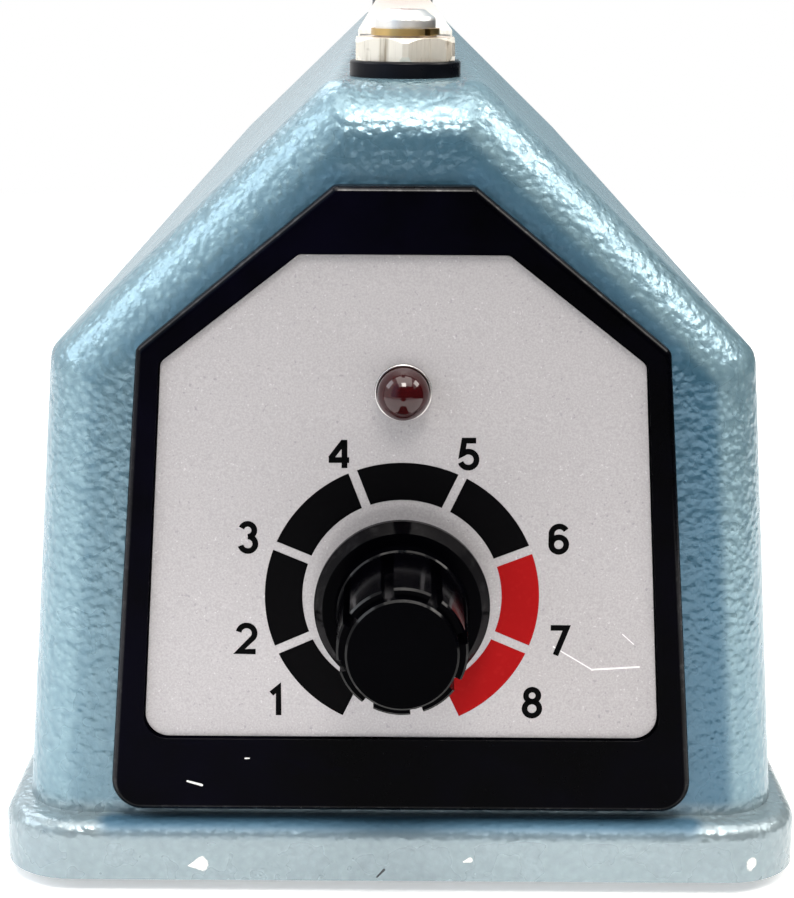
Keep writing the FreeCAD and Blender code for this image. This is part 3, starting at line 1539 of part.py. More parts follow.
def make_gland():
    bore = d.gland_bore + d.gland_gap
    pocket = d.gland_flange + d.over
    flange = padded("gland_flange_hex", "XY_Plane", hexagon(d.gland_flats), d.gland_flange, "One side")
    barrel = turned("gland_barrel", [
        (bore, -d.gland_tail),
        (d.gland_thread, -d.gland_tail),
        (d.gland_thread, d.gland_flange),
        (d.gland_collet, d.gland_flange),
        (d.gland_collet, d.gland_collet_end),
        (d.gland_pocket, d.gland_collet_end),
        (d.gland_pocket, pocket),
        (bore, pocket),
    ])
    drill_at = (0, 0, -d.over)
    drill = rod("gland_drill", d.gland_collet, d.gland_flange + d.over * 2, drill_at)
    solid = fuse("gland_whole", cut("gland_hex", flange, drill), barrel)
    keep(put(solid, gland_point(0), BACK), "gland_body")
    cap_low = d.gland_flange + d.cap_gap
    inside = d.gland_collet + d.run_gap
    cap = turned("gland_nut", [
        (inside, cap_low),
        (d.cap_radius, cap_low),
        (d.cap_radius, d.cap_shoulder),
        (d.cap_tip, d.cap_end),
        (d.cap_mouth, d.cap_end),
        (d.cap_mouth, d.cap_throat),
        (inside, d.cap_seat),
    ])
    rib_sizes = (d.cap_rib, d.cap_radius * 2 + d.cap_rib_rise * 2, d.cap_rib_length)
    ribs = []
    for index in range(6):
        turn = Rotation(Vector(0, 0, 1), 30 * index)
        ribs.append(block("cap_rib_{}".format(index), rib_sizes, (0, 0, cap_low), turn))
    core = rod("cap_core", d.cap_radius - d.over, d.through, (0, 0, 0))
    ridges = cut("cap_ridges", fuse("cap_ribs", *ribs), core)
    keep(put(fuse("cap_done", cap, ridges), gland_point(0), BACK), "gland_cap")
    seal_low, seal_high = pocket + d.gland_seal_gap, d.gland_seal_end
    seal = turned("seal_ring", [
        (d.gland_bore, seal_low),
        (d.gland_seal, seal_low),
        (d.gland_seal, seal_high),
        (d.gland_bore, seal_high),
    ])
    keep(put(seal, gland_point(0), BACK), "gland_seal")
    nut = hex_nut("gland_hex_nut", d.locknut_flats, d.gland_thread + d.run_gap, d.locknut_height)
    keep(put(nut, gland_point(-d.wall - d.locknut_height), BACK), "gland_locknut")


def write_parts():
    """Check every object, then write one file for each piece."""
    doc.recompute()
    for item in doc.Objects:
        if "Invalid" in item.State or "Error" in item.State:
            raise RuntimeError("{} did not build: {}".format(item.Label, item.State))
    for item in NODES:
        if item.Shape.isNull() or not item.Shape.isValid():
            raise RuntimeError("{} has no valid shape".format(item.Label))
        if not item.Shape.Solids:
            raise RuntimeError("{} holds no solid".format(item.Label))
    os.makedirs("parts", exist_ok=True)
    for item in NODES:
        item.Shape.exportStep(os.path.join("parts", item.Label + ".step"))
    print("{} pieces written".format(len(NODES)))


make_housing()
make_base()
make_panel()
make_lamp()
make_knob()
make_control()
make_bed()
make_terminals()
make_hinge()
make_arm()
make_push_rod()
make_switch()
make_transformer()
make_board()
make_leads()
make_gland()
write_parts()
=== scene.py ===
"""Impulse heat sealer: finishes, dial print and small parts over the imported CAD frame."""

import json
import logging
import math
from dataclasses import dataclass
from enum import Enum
from typing import Union

import bmesh
import bpy
from mathutils import Matrix, Vector


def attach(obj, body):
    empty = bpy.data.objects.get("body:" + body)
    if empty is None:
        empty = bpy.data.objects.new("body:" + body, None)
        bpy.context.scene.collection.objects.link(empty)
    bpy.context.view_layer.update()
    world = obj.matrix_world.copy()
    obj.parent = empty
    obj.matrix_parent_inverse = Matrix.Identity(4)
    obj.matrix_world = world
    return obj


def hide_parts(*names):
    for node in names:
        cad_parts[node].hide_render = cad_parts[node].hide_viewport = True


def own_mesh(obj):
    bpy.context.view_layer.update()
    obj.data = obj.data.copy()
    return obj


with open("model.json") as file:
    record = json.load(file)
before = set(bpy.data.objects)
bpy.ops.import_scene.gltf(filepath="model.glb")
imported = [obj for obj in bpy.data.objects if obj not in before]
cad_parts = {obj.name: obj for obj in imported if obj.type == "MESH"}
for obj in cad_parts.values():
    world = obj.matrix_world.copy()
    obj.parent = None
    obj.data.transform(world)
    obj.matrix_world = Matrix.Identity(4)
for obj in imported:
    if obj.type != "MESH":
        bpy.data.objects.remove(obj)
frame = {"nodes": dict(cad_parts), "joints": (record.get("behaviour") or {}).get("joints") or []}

LOG = logging.getLogger("sealer")
MM = 0.001
WHITE = (1.0, 1.0, 1.0, 1.0)
MERGE = 1e-7
ARC_STEP = 15
# the lamp's height above the knob's axis, in millimetres up the plate
LAMP_UP = 20.1
# the ring's divisions, in degrees from the right, at the numbers 1 to 8
DIAL_EDGES = (244.5, 203.8, 157.6, 111.2, 64.4, 21.2, -23.0, -64.8)
Colour = tuple[float, float, float, float]
Flat = tuple[float, float]
Point = tuple[float, float, float]
Owner = Union[bpy.types.Material, bpy.types.World]


def srgb(red: int, green: int, blue: int) -> Colour:
    """Turns a screen colour into the linear colour that shaders take.

    Args:
        red: Red, 0 to 255.
        green: Green, 0 to 255.
        blue: Blue, 0 to 255.

    Returns:
        The linear colour with an alpha of 1.
    """
    def linear(channel: int) -> float:
        """Returns one linear channel."""
        part = channel / 255
        return part / 12.92 if part <= 0.04045 else ((part + 0.055) / 1.055) ** 2.4

    return linear(red), linear(green), linear(blue), 1.0


WARM = srgb(255, 250, 244)
COOL = srgb(244, 249, 255)


class Body(Enum):
    """Moving bodies that new pieces ride on."""

    BASE = "base"
    KNOB = "knob"


class Axis(Enum):
    """Axes of the row frame."""

    X = "X"
    Y = "Y"
    Z = "Z"


class Value:
    """One socket of a shader, used in sums like a number."""

    def __init__(self, shader: "Shader", socket: bpy.types.NodeSocket) -> None:
        """Wraps one socket of a shader."""
        self.shader = shader
        self.socket = socket

    def math(self, operation: str, *others: "Number", first: "Number | None" = None) -> "Value":
        """Adds one Math node.

        Args:
            operation: The node's operation.
            others: Its other inputs, in order.
            first: An input that comes before this value.

        Returns:
            The node's output.
        """
        given = [self, *others] if first is None else [first, self, *others]
        return self.shader.add("ShaderNodeMath", {"operation": operation}, dict(enumerate(given)))

    def __add__(self, other: "Number") -> "Value":
        """Returns this value plus another."""
        return self.math("ADD", other)

    def __radd__(self, other: "Number") -> "Value":
        """Returns another value plus this."""
        return self.math("ADD", other)

    def __sub__(self, other: "Number") -> "Value":
        """Returns this value less another."""
        return self.math("SUBTRACT", other)

    def __rsub__(self, other: "Number") -> "Value":
        """Returns another value less this."""
        return self.math("SUBTRACT", first=other)

    def __mul__(self, other: "Number") -> "Value":
        """Returns this value times another."""
        return self.math("MULTIPLY", other)

    def __rmul__(self, other: "Number") -> "Value":
        """Returns another value times this."""
        return self.math("MULTIPLY", other)

    def __truediv__(self, other: "Number") -> "Value":
        """Returns this value over another."""
        return self.math("DIVIDE", other)

    def clamp(self) -> "Value":
        """Returns the value held between 0 and 1."""
        return self.math("MINIMUM", 1.0).math("MAXIMUM", 0.0)

    def step(self, low: float, high: float) -> "Value":
        """Rises smoothly from 0 to 1 while the value goes from low to high.

        Args:
            low: Where the rise starts.
            high: Where it ends.

        Returns:
            The eased value.
        """
        settings = {"interpolation_type": "SMOOTHSTEP"}
        return self.shader.add("ShaderNodeMapRange", settings, {0: self, 1: low, 2: high})


Number = Union[float, Value]


class Shader:
    """Node tree of one material or world."""

    def __init__(self, owner: Owner) -> None:
        """Clears a tree and starts it at the piece's own coordinates.

        Args:
            owner: The material or world that holds the tree.
        """
        self.owner = owner
        owner.use_nodes = True
        self.nodes = owner.node_tree.nodes
        self.links = owner.node_tree.links
        self.nodes.clear()
        self.place = self.add("ShaderNodeTexCoord", out="Object")

    @classmethod
    def named(cls, name: str) -> "Shader":
        """Starts the tree of a new material."""
        return cls(bpy.data.materials.new(name))

    def add(
        self,
        kind: str,
        settings: dict[str, object] | None = None,
        inputs: dict[int | str, object] | None = None,
        out: int | str = 0,
    ) -> Value:
        """Adds one node.

        Args:
            kind: The node's type.
            settings: Its properties.
            inputs: Values or links for its sockets.
            out: The output to hand back.

        Returns:
            That output.
        """
        node = self.nodes.new(kind)
        for key, setting in (settings or {}).items():
            setattr(node, key, setting)
        for key, given in (inputs or {}).items():
            if isinstance(given, Value):
                self.links.new(given.socket, node.inputs[key])
            else:
                node.inputs[key].default_value = given
        return Value(self, node.outputs[out])

    def axis(self, axis: Axis) -> Value:
        """Returns one coordinate of the place."""
        return self.add("ShaderNodeSeparateXYZ", inputs={0: self.place}, out=axis.value)

    def stretch(self, scale: Point, turn: Point = (0, 0, 0)) -> Value:
        """Returns the place, turned and scaled along each axis."""
        inputs = {"Vector": self.place, "Rotation": turn, "Scale": scale}
        return self.add("ShaderNodeMapping", inputs=inputs)

    def vector(self, operation: str, first: object, second: object, out: str = "Value") -> Value:
        """Adds one Vector Math node.

        Args:
            operation: The node's operation.
            first: Its first vector.
            second: Its second vector.
            out: The output to hand back.

        Returns:
            That output.
        """
        inputs = {0: first, 1: second}
        return self.add("ShaderNodeVectorMath", {"operation": operation}, inputs, out)

    def noise(
        self, scale: float, detail: float = 2.0, rough: float = 0.5, at: Value | None = None,
    ) -> Value:
        """Returns soft noise, about 0.5 on average."""
        inputs = {"Vector": at or self.place, "Scale": scale, "Detail": detail, "Roughness": rough}
        return self.add("ShaderNodeTexNoise", inputs=inputs)

    def cells(self, scale: float, feature: str = "F1") -> Value:
        """Returns the distance pattern of scattered cells."""
        inputs = {"Vector": self.place, "Scale": scale}
        return self.add("ShaderNodeTexVoronoi", {"feature": feature}, inputs)

    def away(self, point: Point) -> Value:
        """Returns the distance from a point."""
        return self.vector("DISTANCE", self.place, point)

    def beside(self, start: Point, end: Point) -> tuple[Value, Value]:
        """Measures the place against the line between two points.

        Args:
            start: The line's first point.
            end: Its last point.

        Returns:
            The distance from the line, and the share of the way along it.
        """
        way = Vector(end) - Vector(start)
        offset = self.vector("SUBTRACT", self.place, start, "Vector")
        along = self.vector("DOT_PRODUCT", offset, tuple(way))
        share = (along / way.length_squared).clamp()
        scaled = {0: tuple(way), "Scale": share}
        foot = self.add("ShaderNodeVectorMath", {"operation": "SCALE"}, scaled)
        return self.vector("DISTANCE", offset, foot), share

    def facing(self, way: Point) -> Value:
        """Returns how far the surface faces a direction, 1 when straight at it."""
        return self.vector("DOT_PRODUCT", self.add("ShaderNodeTexCoord", out="Normal"), way)

    def blend(self, factor: Value, low: Colour | Value, high: Colour | Value) -> Value:
        """Mixes two colours."""
        return self.add("ShaderNodeMix", {"data_type": "RGBA"}, {0: factor, 6: low, 7: high}, 2)

    def bump(self, height: Value, depth: float) -> Value:
        """Returns a normal that rises and falls with a height of 0 to 1, by depth in metres."""
        return self.add("ShaderNodeBump", inputs={"Height": height, "Distance": depth})

    def surface(self, inputs: dict[int | str, object]) -> bpy.types.Material:
        """Ends the tree in a Principled surface.

        Args:
            inputs: Its sockets.

        Returns:
            The finished material.
        """
        return self.end(self.add("ShaderNodeBsdfPrincipled", inputs=inputs))

    def end(self, skin: Value) -> Owner:
        """Links a surface to the tree's output.

        Args:
            skin: The surface.

        Returns:
            The finished material or world.
        """
        kind = "World" if isinstance(self.owner, bpy.types.World) else "Material"
        output = self.nodes.new("ShaderNodeOutput" + kind)
        self.links.new(skin.socket, output.inputs["Surface"])
        return self.owner


@dataclass(frozen=True)
class Mark:
    """Short scratch, chip or band of painted shade between two points, narrower at its start by the
    taper.
    """

    start: Point
    end: Point
    width: float
    taper: float = 0.0

    def mask(self, shader: Shader, ragged: Value) -> Value:
        """Returns 1 on the mark and 0 off it.

        Args:
            shader: The tree it joins.
            ragged: Noise that breaks its edge.

        Returns:
            The mask.
        """
        gap, share = shader.beside(self.start, self.end)
        room = (share * self.taper + (1.0 - self.taper)) * self.width
        return (gap / room + ragged * 0.8).step(1.2, 1.0)

    def shade(self, shader: Shader) -> Value:
        """Returns a soft shadow that fades out over the mark's width.

        Args:
            shader: The tree it joins.

        Returns:
            The mask.
        """
        gap, _ = shader.beside(self.start, self.end)
        return (gap / self.width).step(1.0, 0.25) * 0.9


@dataclass(frozen=True)
class HammerPaint:
    """Hammered enamel: small pebbles in a glossy metallic blue-grey."""

    name: str
    pale: Colour = srgb(128, 157, 167)
    deep: Colour = srgb(62, 97, 115)
    flange_tint: Colour = srgb(158, 162, 162)
    primer: Colour = srgb(238, 238, 234)
    grime: Colour = srgb(30, 36, 42)
    shadow: Colour = srgb(40, 88, 114)
    pebble: float = 1450.0
    swell: float = 1100.0
    cloud: float = 34.0
    ragged: float = 900.0
    gloss: float = 0.2
    mark_rough: float = 0.4
    metallic: float = 0.4
    specular: float = 0.9
    depth: float = 0.16 * MM
    foot: float = 7.0 * MM
    foot_fade: float = 2.0 * MM
    left_edge: float = -34.0 * MM
    right_edge: float = 36.0 * MM
    front: Point = (0.0, -1.0, 0.04)
    chips: tuple[Mark, ...] = ()
    hairs: tuple[Mark, ...] = ()
    creases: tuple[Mark, ...] = ()

    def material(self) -> bpy.types.Material:
        """Builds the paint with its chips and grime hairs, and with painted shade on its front
        faces and round the bezel.

        Returns:
            The material.
        """
        shader = Shader.named(self.name)
        warp = shader.noise(260.0)
        pebbles = shader.cells(self.pebble, "SMOOTH_F1")
        swell = shader.noise(self.swell, 3.0, 0.6)
        height = (1.0 - pebbles) * 0.7 + swell * 0.6
        tone = (pebbles * 0.6 + swell * 0.5 - 0.2).clamp()
        cloud = shader.noise(self.cloud, 3.0)
        colour = shader.blend(tone, self.pale, self.deep)
        colour = shader.blend((cloud * 0.4 - 0.12).clamp(), colour, self.deep)
        above = shader.axis(Axis.Z).step(self.foot, self.foot + self.foot_fade)
        # Painted shade: walls that face the front, above the flange, are darkened towards the deep
        # colour, more so to the right, and on the right also towards the shadow colour.
        ahead = shader.facing(self.front).step(0.93, 1.0)
        right = shader.axis(Axis.X).step(self.left_edge, self.right_edge)
        colour = shader.blend(ahead * above * (0.5 + right * 0.5), colour, self.deep)
        colour = shader.blend(ahead * above * right * 0.5, colour, self.shadow)
        # The flange, below the foot, is blended towards a paler, greyer tint.
        colour = shader.blend((1.0 - above) * 0.45, colour, self.flange_tint)
        rough = self.gloss + warp * 0.16
        ragged = shader.noise(self.ragged, 4.0, 0.7)
        for hair in self.hairs:
            colour = shader.blend(hair.mask(shader, ragged), colour, self.grime)
        # Painted shade: soft dark bands round the bezel, blended towards the shadow colour and made
        # rougher.
        for crease in self.creases:
            painted_shade = crease.shade(shader)
            colour = shader.blend(painted_shade, colour, self.shadow)
            rough = rough + painted_shade * self.mark_rough
        for chip in self.chips:
            bared = chip.mask(shader, ragged)
            colour = shader.blend(bared, colour, self.primer)
            rough = rough + bared * self.mark_rough
        return shader.surface({
            "Base Color": colour,
            "Roughness": rough,
            "Metallic": self.metallic,
            "Specular IOR Level": self.specular,
            "Normal": shader.bump(height, self.depth),
        })


@dataclass(frozen=True)
class Moulding:
    """Moulded plastic or painted-through compound with a fine skin."""

    name: str
    colour: Colour
    worn: Colour
    rough: float = 0.4
    shine: float = 0.4
    grain: float = 1400.0
    depth: float = 0.01 * MM
    matt_side: Point | None = None
    bare: Colour = srgb(226, 226, 224)
    nicks: tuple[Mark, ...] = ()

    def material(self) -> bpy.types.Material:
        """Builds the plastic with handling marks, a fine grain, polished edges and nicks.

        Returns:
            The material.
        """
        shader = Shader.named(self.name)
        cloud = shader.noise(60.0, 4.0, 0.6)
        grain = shader.noise(self.grain, 3.0, 0.6)
        scuff = shader.noise(5.0, 5.0, 0.7, shader.stretch((30.0, 160.0, 60.0), (0.4, 0.2, 0.9)))
        mark = scuff.step(0.6, 0.78)
        wear = (cloud.step(0.35, 0.75) * 0.5 + mark * 0.35).clamp()
        rough = self.rough + (cloud - 0.5) * 0.16 + mark * 0.12 + (grain - 0.5) * 0.1
        colour = shader.blend(wear, self.colour, self.worn)
        for nick in self.nicks:
            colour = shader.blend(nick.mask(shader, grain), colour, self.bare)
        inputs: dict[int | str, object] = {
            "Base Color": colour,
            "Roughness": rough.clamp(),
            "Specular IOR Level": self.shine,
            "Normal": shader.bump(grain * 0.8 + mark * 0.4, self.depth),
        }
        if self.matt_side is not None:
            worn = 0.12 + cloud.step(0.3, 0.7) * 0.2 + grain.step(0.5, 0.75) * 0.3
            inputs["Coat Weight"] = shader.facing(self.matt_side).step(0.985, 0.9) * worn
            inputs["Coat Roughness"] = 0.1
        return shader.surface(inputs)


@dataclass(frozen=True)
class Metal:
    """Plated, drawn or machined metal with fine lines."""

    name: str
    colour: Colour
    dull: Colour
    rough: float = 0.28
    lines: Point = (60.0, 60.0, 900.0)
    depth: float = 0.006 * MM
    tarnish: float = 0.4
    streaks: float = 0.0

    def material(self) -> bpy.types.Material:
        """Builds the metal with tool lines and tarnish.

        Returns:
            The material.
        """
        shader = Shader.named(self.name)
        lines = shader.noise(2.2, 4.0, 0.65, shader.stretch(self.lines))
        film = shader.noise(190.0, 4.0, 0.65)
        spots = shader.noise(900.0, 2.0).step(0.66, 0.74)
        streak = lines.step(0.5, 0.75) * self.streaks
        stain = (film.step(0.42, 0.75) * self.tarnish + spots * 0.25 + streak).clamp()
        colour = shader.blend(stain, self.colour, self.dull)
        rough = self.rough + (lines - 0.5) * 0.18 + stain * 0.22
        return shader.surface({
            "Base Color": colour,
            "Roughness": rough.clamp(),
            "Metallic": 1.0,
            "Normal": shader.bump(lines, self.depth),
        })


@dataclass(frozen=True)
class SpeckledPlate:
    """Silver dial plate with a fine sparkling grain and a few scratches."""

    name: str
    pale: Colour = srgb(176, 173, 175)
    dark: Colour = srgb(154, 151, 153)
    fleck: Colour = srgb(120, 118, 124)
    spark: Colour = srgb(240, 240, 242)
    bare: Colour = srgb(246, 245, 246)
    scratches: tuple[Mark, ...] = ()

    def material(self) -> bpy.types.Material:
        """Builds the plate's coating.

        Returns:
            The material.
        """
        shader = Shader.named(self.name)
        grain = shader.noise(5200.0, 2.0, 0.6)
        dots = shader.noise(2300.0, 1.0).step(0.7, 0.76)
        sparks = shader.noise(3400.0, 1.0).step(0.7, 0.76)
        cloud = shader.noise(40.0, 3.0)
        tone = (grain.step(0.3, 0.7) * 0.6 + (cloud - 0.5) * 0.3 + 0.1).clamp()
        colour = shader.blend(tone, self.pale, self.dark)
        colour = shader.blend(dots * 0.4, colour, self.fleck)
        colour = shader.blend(sparks * 0.25, colour, self.spark)
        broken = shader.noise(700.0, 3.0, 0.7)
        for scratch in self.scratches:
            colour = shader.blend(scratch.mask(shader, broken) * 0.7, colour, self.bare)
        return shader.surface({
            "Base Color": colour,
            "Roughness": 0.38 + tone * 0.12,
            "Metallic": 0.35,
            "Specular IOR Level": 0.5,
            "Normal": shader.bump(grain, 0.01 * MM),
        })


@dataclass(frozen=True)
class Ink:
    """Screen-printed ink with an uneven film."""

    name: str
    colour: Colour
    thin: Colour

    def material(self) -> bpy.types.Material:
        """Builds the ink.

        Returns:
            The material.
        """
        shader = Shader.named(self.name)
        film = shader.noise(1500.0, 3.0, 0.6)
        mesh = shader.noise(400.0, 2.0)
        worn = (film.step(0.5, 0.85) * 0.6 + mesh * 0.15).clamp()
        colour = shader.blend(worn, self.colour, self.thin)
        return shader.surface({
            "Base Color": colour,
            "Roughness": 0.38 + film * 0.15,
            "Specular IOR Level": 0.03,
            "Normal": shader.bump(film, 0.008 * MM),
        })


@dataclass(frozen=True)
class LampLens:
    """Red indicator lens, darker towards its middle as a painted dark reflection."""

    name: str
    centre: Point
    rim: Colour = srgb(50, 9, 11)
    heart: Colour = srgb(12, 2, 3)
    radius: float = 2.6 * MM

    def material(self) -> bpy.types.Material:
        """Builds the lens.

        Returns:
            The material.
        """
        shader = Shader.named(self.name)
        out = shader.away(self.centre) / self.radius
        flow = shader.noise(500.0, 3.0)
        # Painted reflection: the lens is darkened towards its middle, where a dark reflection
        # shows.
        tone = (out.step(0.35, 1.1) * 0.8 + (flow - 0.5) * 0.3).clamp()
        colour = shader.blend(tone, self.heart, self.rim)
        return shader.surface({
            "Base Color": colour,
            "Roughness": 0.05 + flow * 0.08,
            "Specular IOR Level": 0.5,
            "Normal": shader.bump(flow, 0.02 * MM),
        })


@dataclass(frozen=True)
class Woven:
    """Coated cloth tape with a plain weave."""

    name: str
    warp: Colour
    weft: Colour
    scorched: Colour = srgb(222, 210, 186)
    pitch: float = 0.55 * MM

    def material(self) -> bpy.types.Material:
        """Builds the tape.

        Returns:
            The material.
        """
        shader = Shader.named(self.name)
        turn = math.tau / self.pitch
        over = (shader.axis(Axis.X) * turn).math("SINE")
        under = (shader.axis(Axis.Y) * turn).math("SINE")
        thread = over * under * 0.5 + 0.5
        film = shader.noise(120.0, 4.0)
        scorch = shader.noise(45.0, 3.0).step(0.55, 0.85)
        colour = shader.blend((thread * 0.6 + film * 0.3).clamp(), self.warp, self.weft)
        colour = shader.blend(scorch * 0.3, colour, self.scorched)
        return shader.surface({
            "Base Color": colour,
            "Roughness": 0.34 + film * 0.2,
            "Specular IOR Level": 0.45,
            "Normal": shader.bump(thread, 0.03 * MM),
        })


@dataclass(frozen=True)
class Banded:
    """Stacked laminations or wound wire: close lines along one axis."""

    name: str
    crest: Colour
    groove: Colour
    pitch: float
    axis: Axis
    metallic: float = 0.6
    depth: float = 0.08 * MM

    def material(self) -> bpy.types.Material:
        """Builds the lines.

        Returns:
            The material.
        """
        shader = Shader.named(self.name)
        wave = (shader.axis(self.axis) * (math.tau / self.pitch)).math("SINE") * 0.5 + 0.5
        film = shader.noise(300.0, 4.0, 0.6)
        crest = (wave.step(0.1, 0.7) + (film - 0.5) * 0.5).clamp()
        return shader.surface({
            "Base Color": shader.blend(crest, self.groove, self.crest),
            "Roughness": 0.34 + film * 0.25,
            "Metallic": self.metallic,
            "Normal": shader.bump(wave, self.depth),
        })


@dataclass(frozen=True)
class BoardCoat:
    """Green circuit board with tracks under its lacquer."""

    name: str
    lacquer: Colour = srgb(24, 92, 58)
    track: Colour = srgb(60, 132, 84)

    def material(self) -> bpy.types.Material:
        """Builds the board.

        Returns:
            The material.
        """
        shader = Shader.named(self.name)
        runs = shader.add(
            "ShaderNodeTexVoronoi",
            {"distance": "MANHATTAN", "feature": "F2"},
            {"Vector": shader.place, "Scale": 130.0},
        )
        film = shader.noise(400.0, 3.0)
        lines = (runs * 9.0).math("FRACT").step(0.5, 0.62)
        colour = shader.blend((lines * 0.7 + film * 0.2).clamp(), self.lacquer, self.track)
        return shader.surface({
            "Base Color": colour,
            "Roughness": 0.24 + film * 0.2,
            "Normal": shader.bump(lines, 0.03 * MM),
        })


Finish = Union[HammerPaint, Moulding, Metal, SpeckledPlate, Ink, LampLens, Woven, Banded, BoardCoat]


@dataclass(frozen=True)
class Panel:
    """Leaning plane of the dial plate, with its origin on the knob's axis."""

    centre: Vector
    outward: Vector

    def matrix(self, lift: float = 0.0) -> Matrix:
        """Turns the plane's own frame into the row frame.

        Args:
            lift: How far in front of the plate, in metres.

        Returns:
            The transform: X across, Y up the plate, Z outward.
        """
        across = Vector((1.0, 0.0, 0.0))
        up = self.outward.cross(across)
        turn = Matrix((across, up, self.outward)).transposed().to_4x4()
        return Matrix.Translation(self.centre + self.outward * lift) @ turn

    def point(self, across: float, up: float, lift: float = 0.0) -> Vector:
        """Returns a place from millimetres across, up and before the plate."""
        return self.matrix() @ Vector((across * MM, up * MM, lift * MM))


def put(
    name: str, mesh: bpy.types.Mesh, material: bpy.types.Material, body: Body,
) -> bpy.types.Object:
    """Adds a piece that rides on a body.

    Args:
        name: The piece's name.
        mesh: Its mesh, already in the row frame.
        material: Its material.
        body: The body that carries it.

    Returns:
        The new object.
    """
    mesh.materials.clear()
    mesh.materials.append(material)
    piece = bpy.data.objects.new(name, mesh)
    bpy.context.scene.collection.objects.link(piece)
    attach(piece, body.value)
    LOG.info("piece %s: %d faces on %s", name, len(mesh.polygons), body.value)
    return piece


def closed_mesh(name: str, shape: bmesh.types.BMesh, smooth: bool = False) -> bpy.types.Mesh:
    """Writes a bmesh into a mesh with its normals outward.

    Args:
        name: The mesh's name.
        shape: The shape, which is freed.
        smooth: Whether its faces are shaded smooth.

    Returns:
        The mesh.
    """
    bmesh.ops.remove_doubles(shape, verts=shape.verts, dist=MERGE)
    bmesh.ops.recalc_face_normals(shape, faces=shape.faces)
    for face in shape.faces:
        face.smooth = smooth
    mesh = bpy.data.meshes.new(name)
    shape.to_mesh(mesh)
    shape.free()
    return mesh


def arc(centre: Flat, radius: float, start: float, end: float) -> list[Vector]:
    """Returns points along an arc.

    Args:
        centre: Its middle.
        radius: Its radius.
        start: Its first angle in degrees.
        end: Its last angle in degrees.

    Returns:
        The points, about one for every step of an arc.
    """
    count = max(2, round(abs(end - start) / ARC_STEP))
    turns = [math.radians(start + (end - start) * step / count) for step in range(count + 1)]
    across, up = centre
    return [
        Vector((across + radius * math.cos(turn), up + radius * math.sin(turn))) for turn in turns
    ]


def run(*points: Flat) -> list[Vector]:
    """Returns a straight-sided run of points."""
    return [Vector(point) for point in points]


def strokes(digit: int) -> list[list[Vector]]:
    """Returns the pen strokes of a plain number, one unit high.

    Args:
        digit: The number, 1 to 8.

    Returns:
        The strokes, each a list of points.
    """
    shapes = {
        1: [run((0.12, 0.76), (0.36, 0.97), (0.36, 0.0))],
        2: [arc((0.3, 0.7), 0.27, 170, -35) + run((0.04, 0.06), (0.6, 0.06))],
        3: [arc((0.28, 0.73), 0.22, 160, -90), arc((0.28, 0.27), 0.25, 90, -165)],
        4: [
            run((0.44, 0.0), (0.44, 0.95)),
            run((0.42, 0.9), (-0.02, 0.32)),
            run((-0.08, 0.27), (0.6, 0.27)),
        ],
        5: [run((0.54, 0.95), (0.15, 0.95), (0.08, 0.5)) + arc((0.29, 0.31), 0.27, 128, -160)],
        6: [arc((0.3, 0.29), 0.25, 0, 360), run((0.05, 0.3)) + arc((0.31, 0.65), 0.26, 190, 30)],
        7: [run((0.02, 0.95), (0.56, 0.95), (0.2, 0.0))],
        8: [arc((0.29, 0.73), 0.21, 0, 360), arc((0.29, 0.27), 0.25, 0, 360)],
    }
    return shapes[digit]


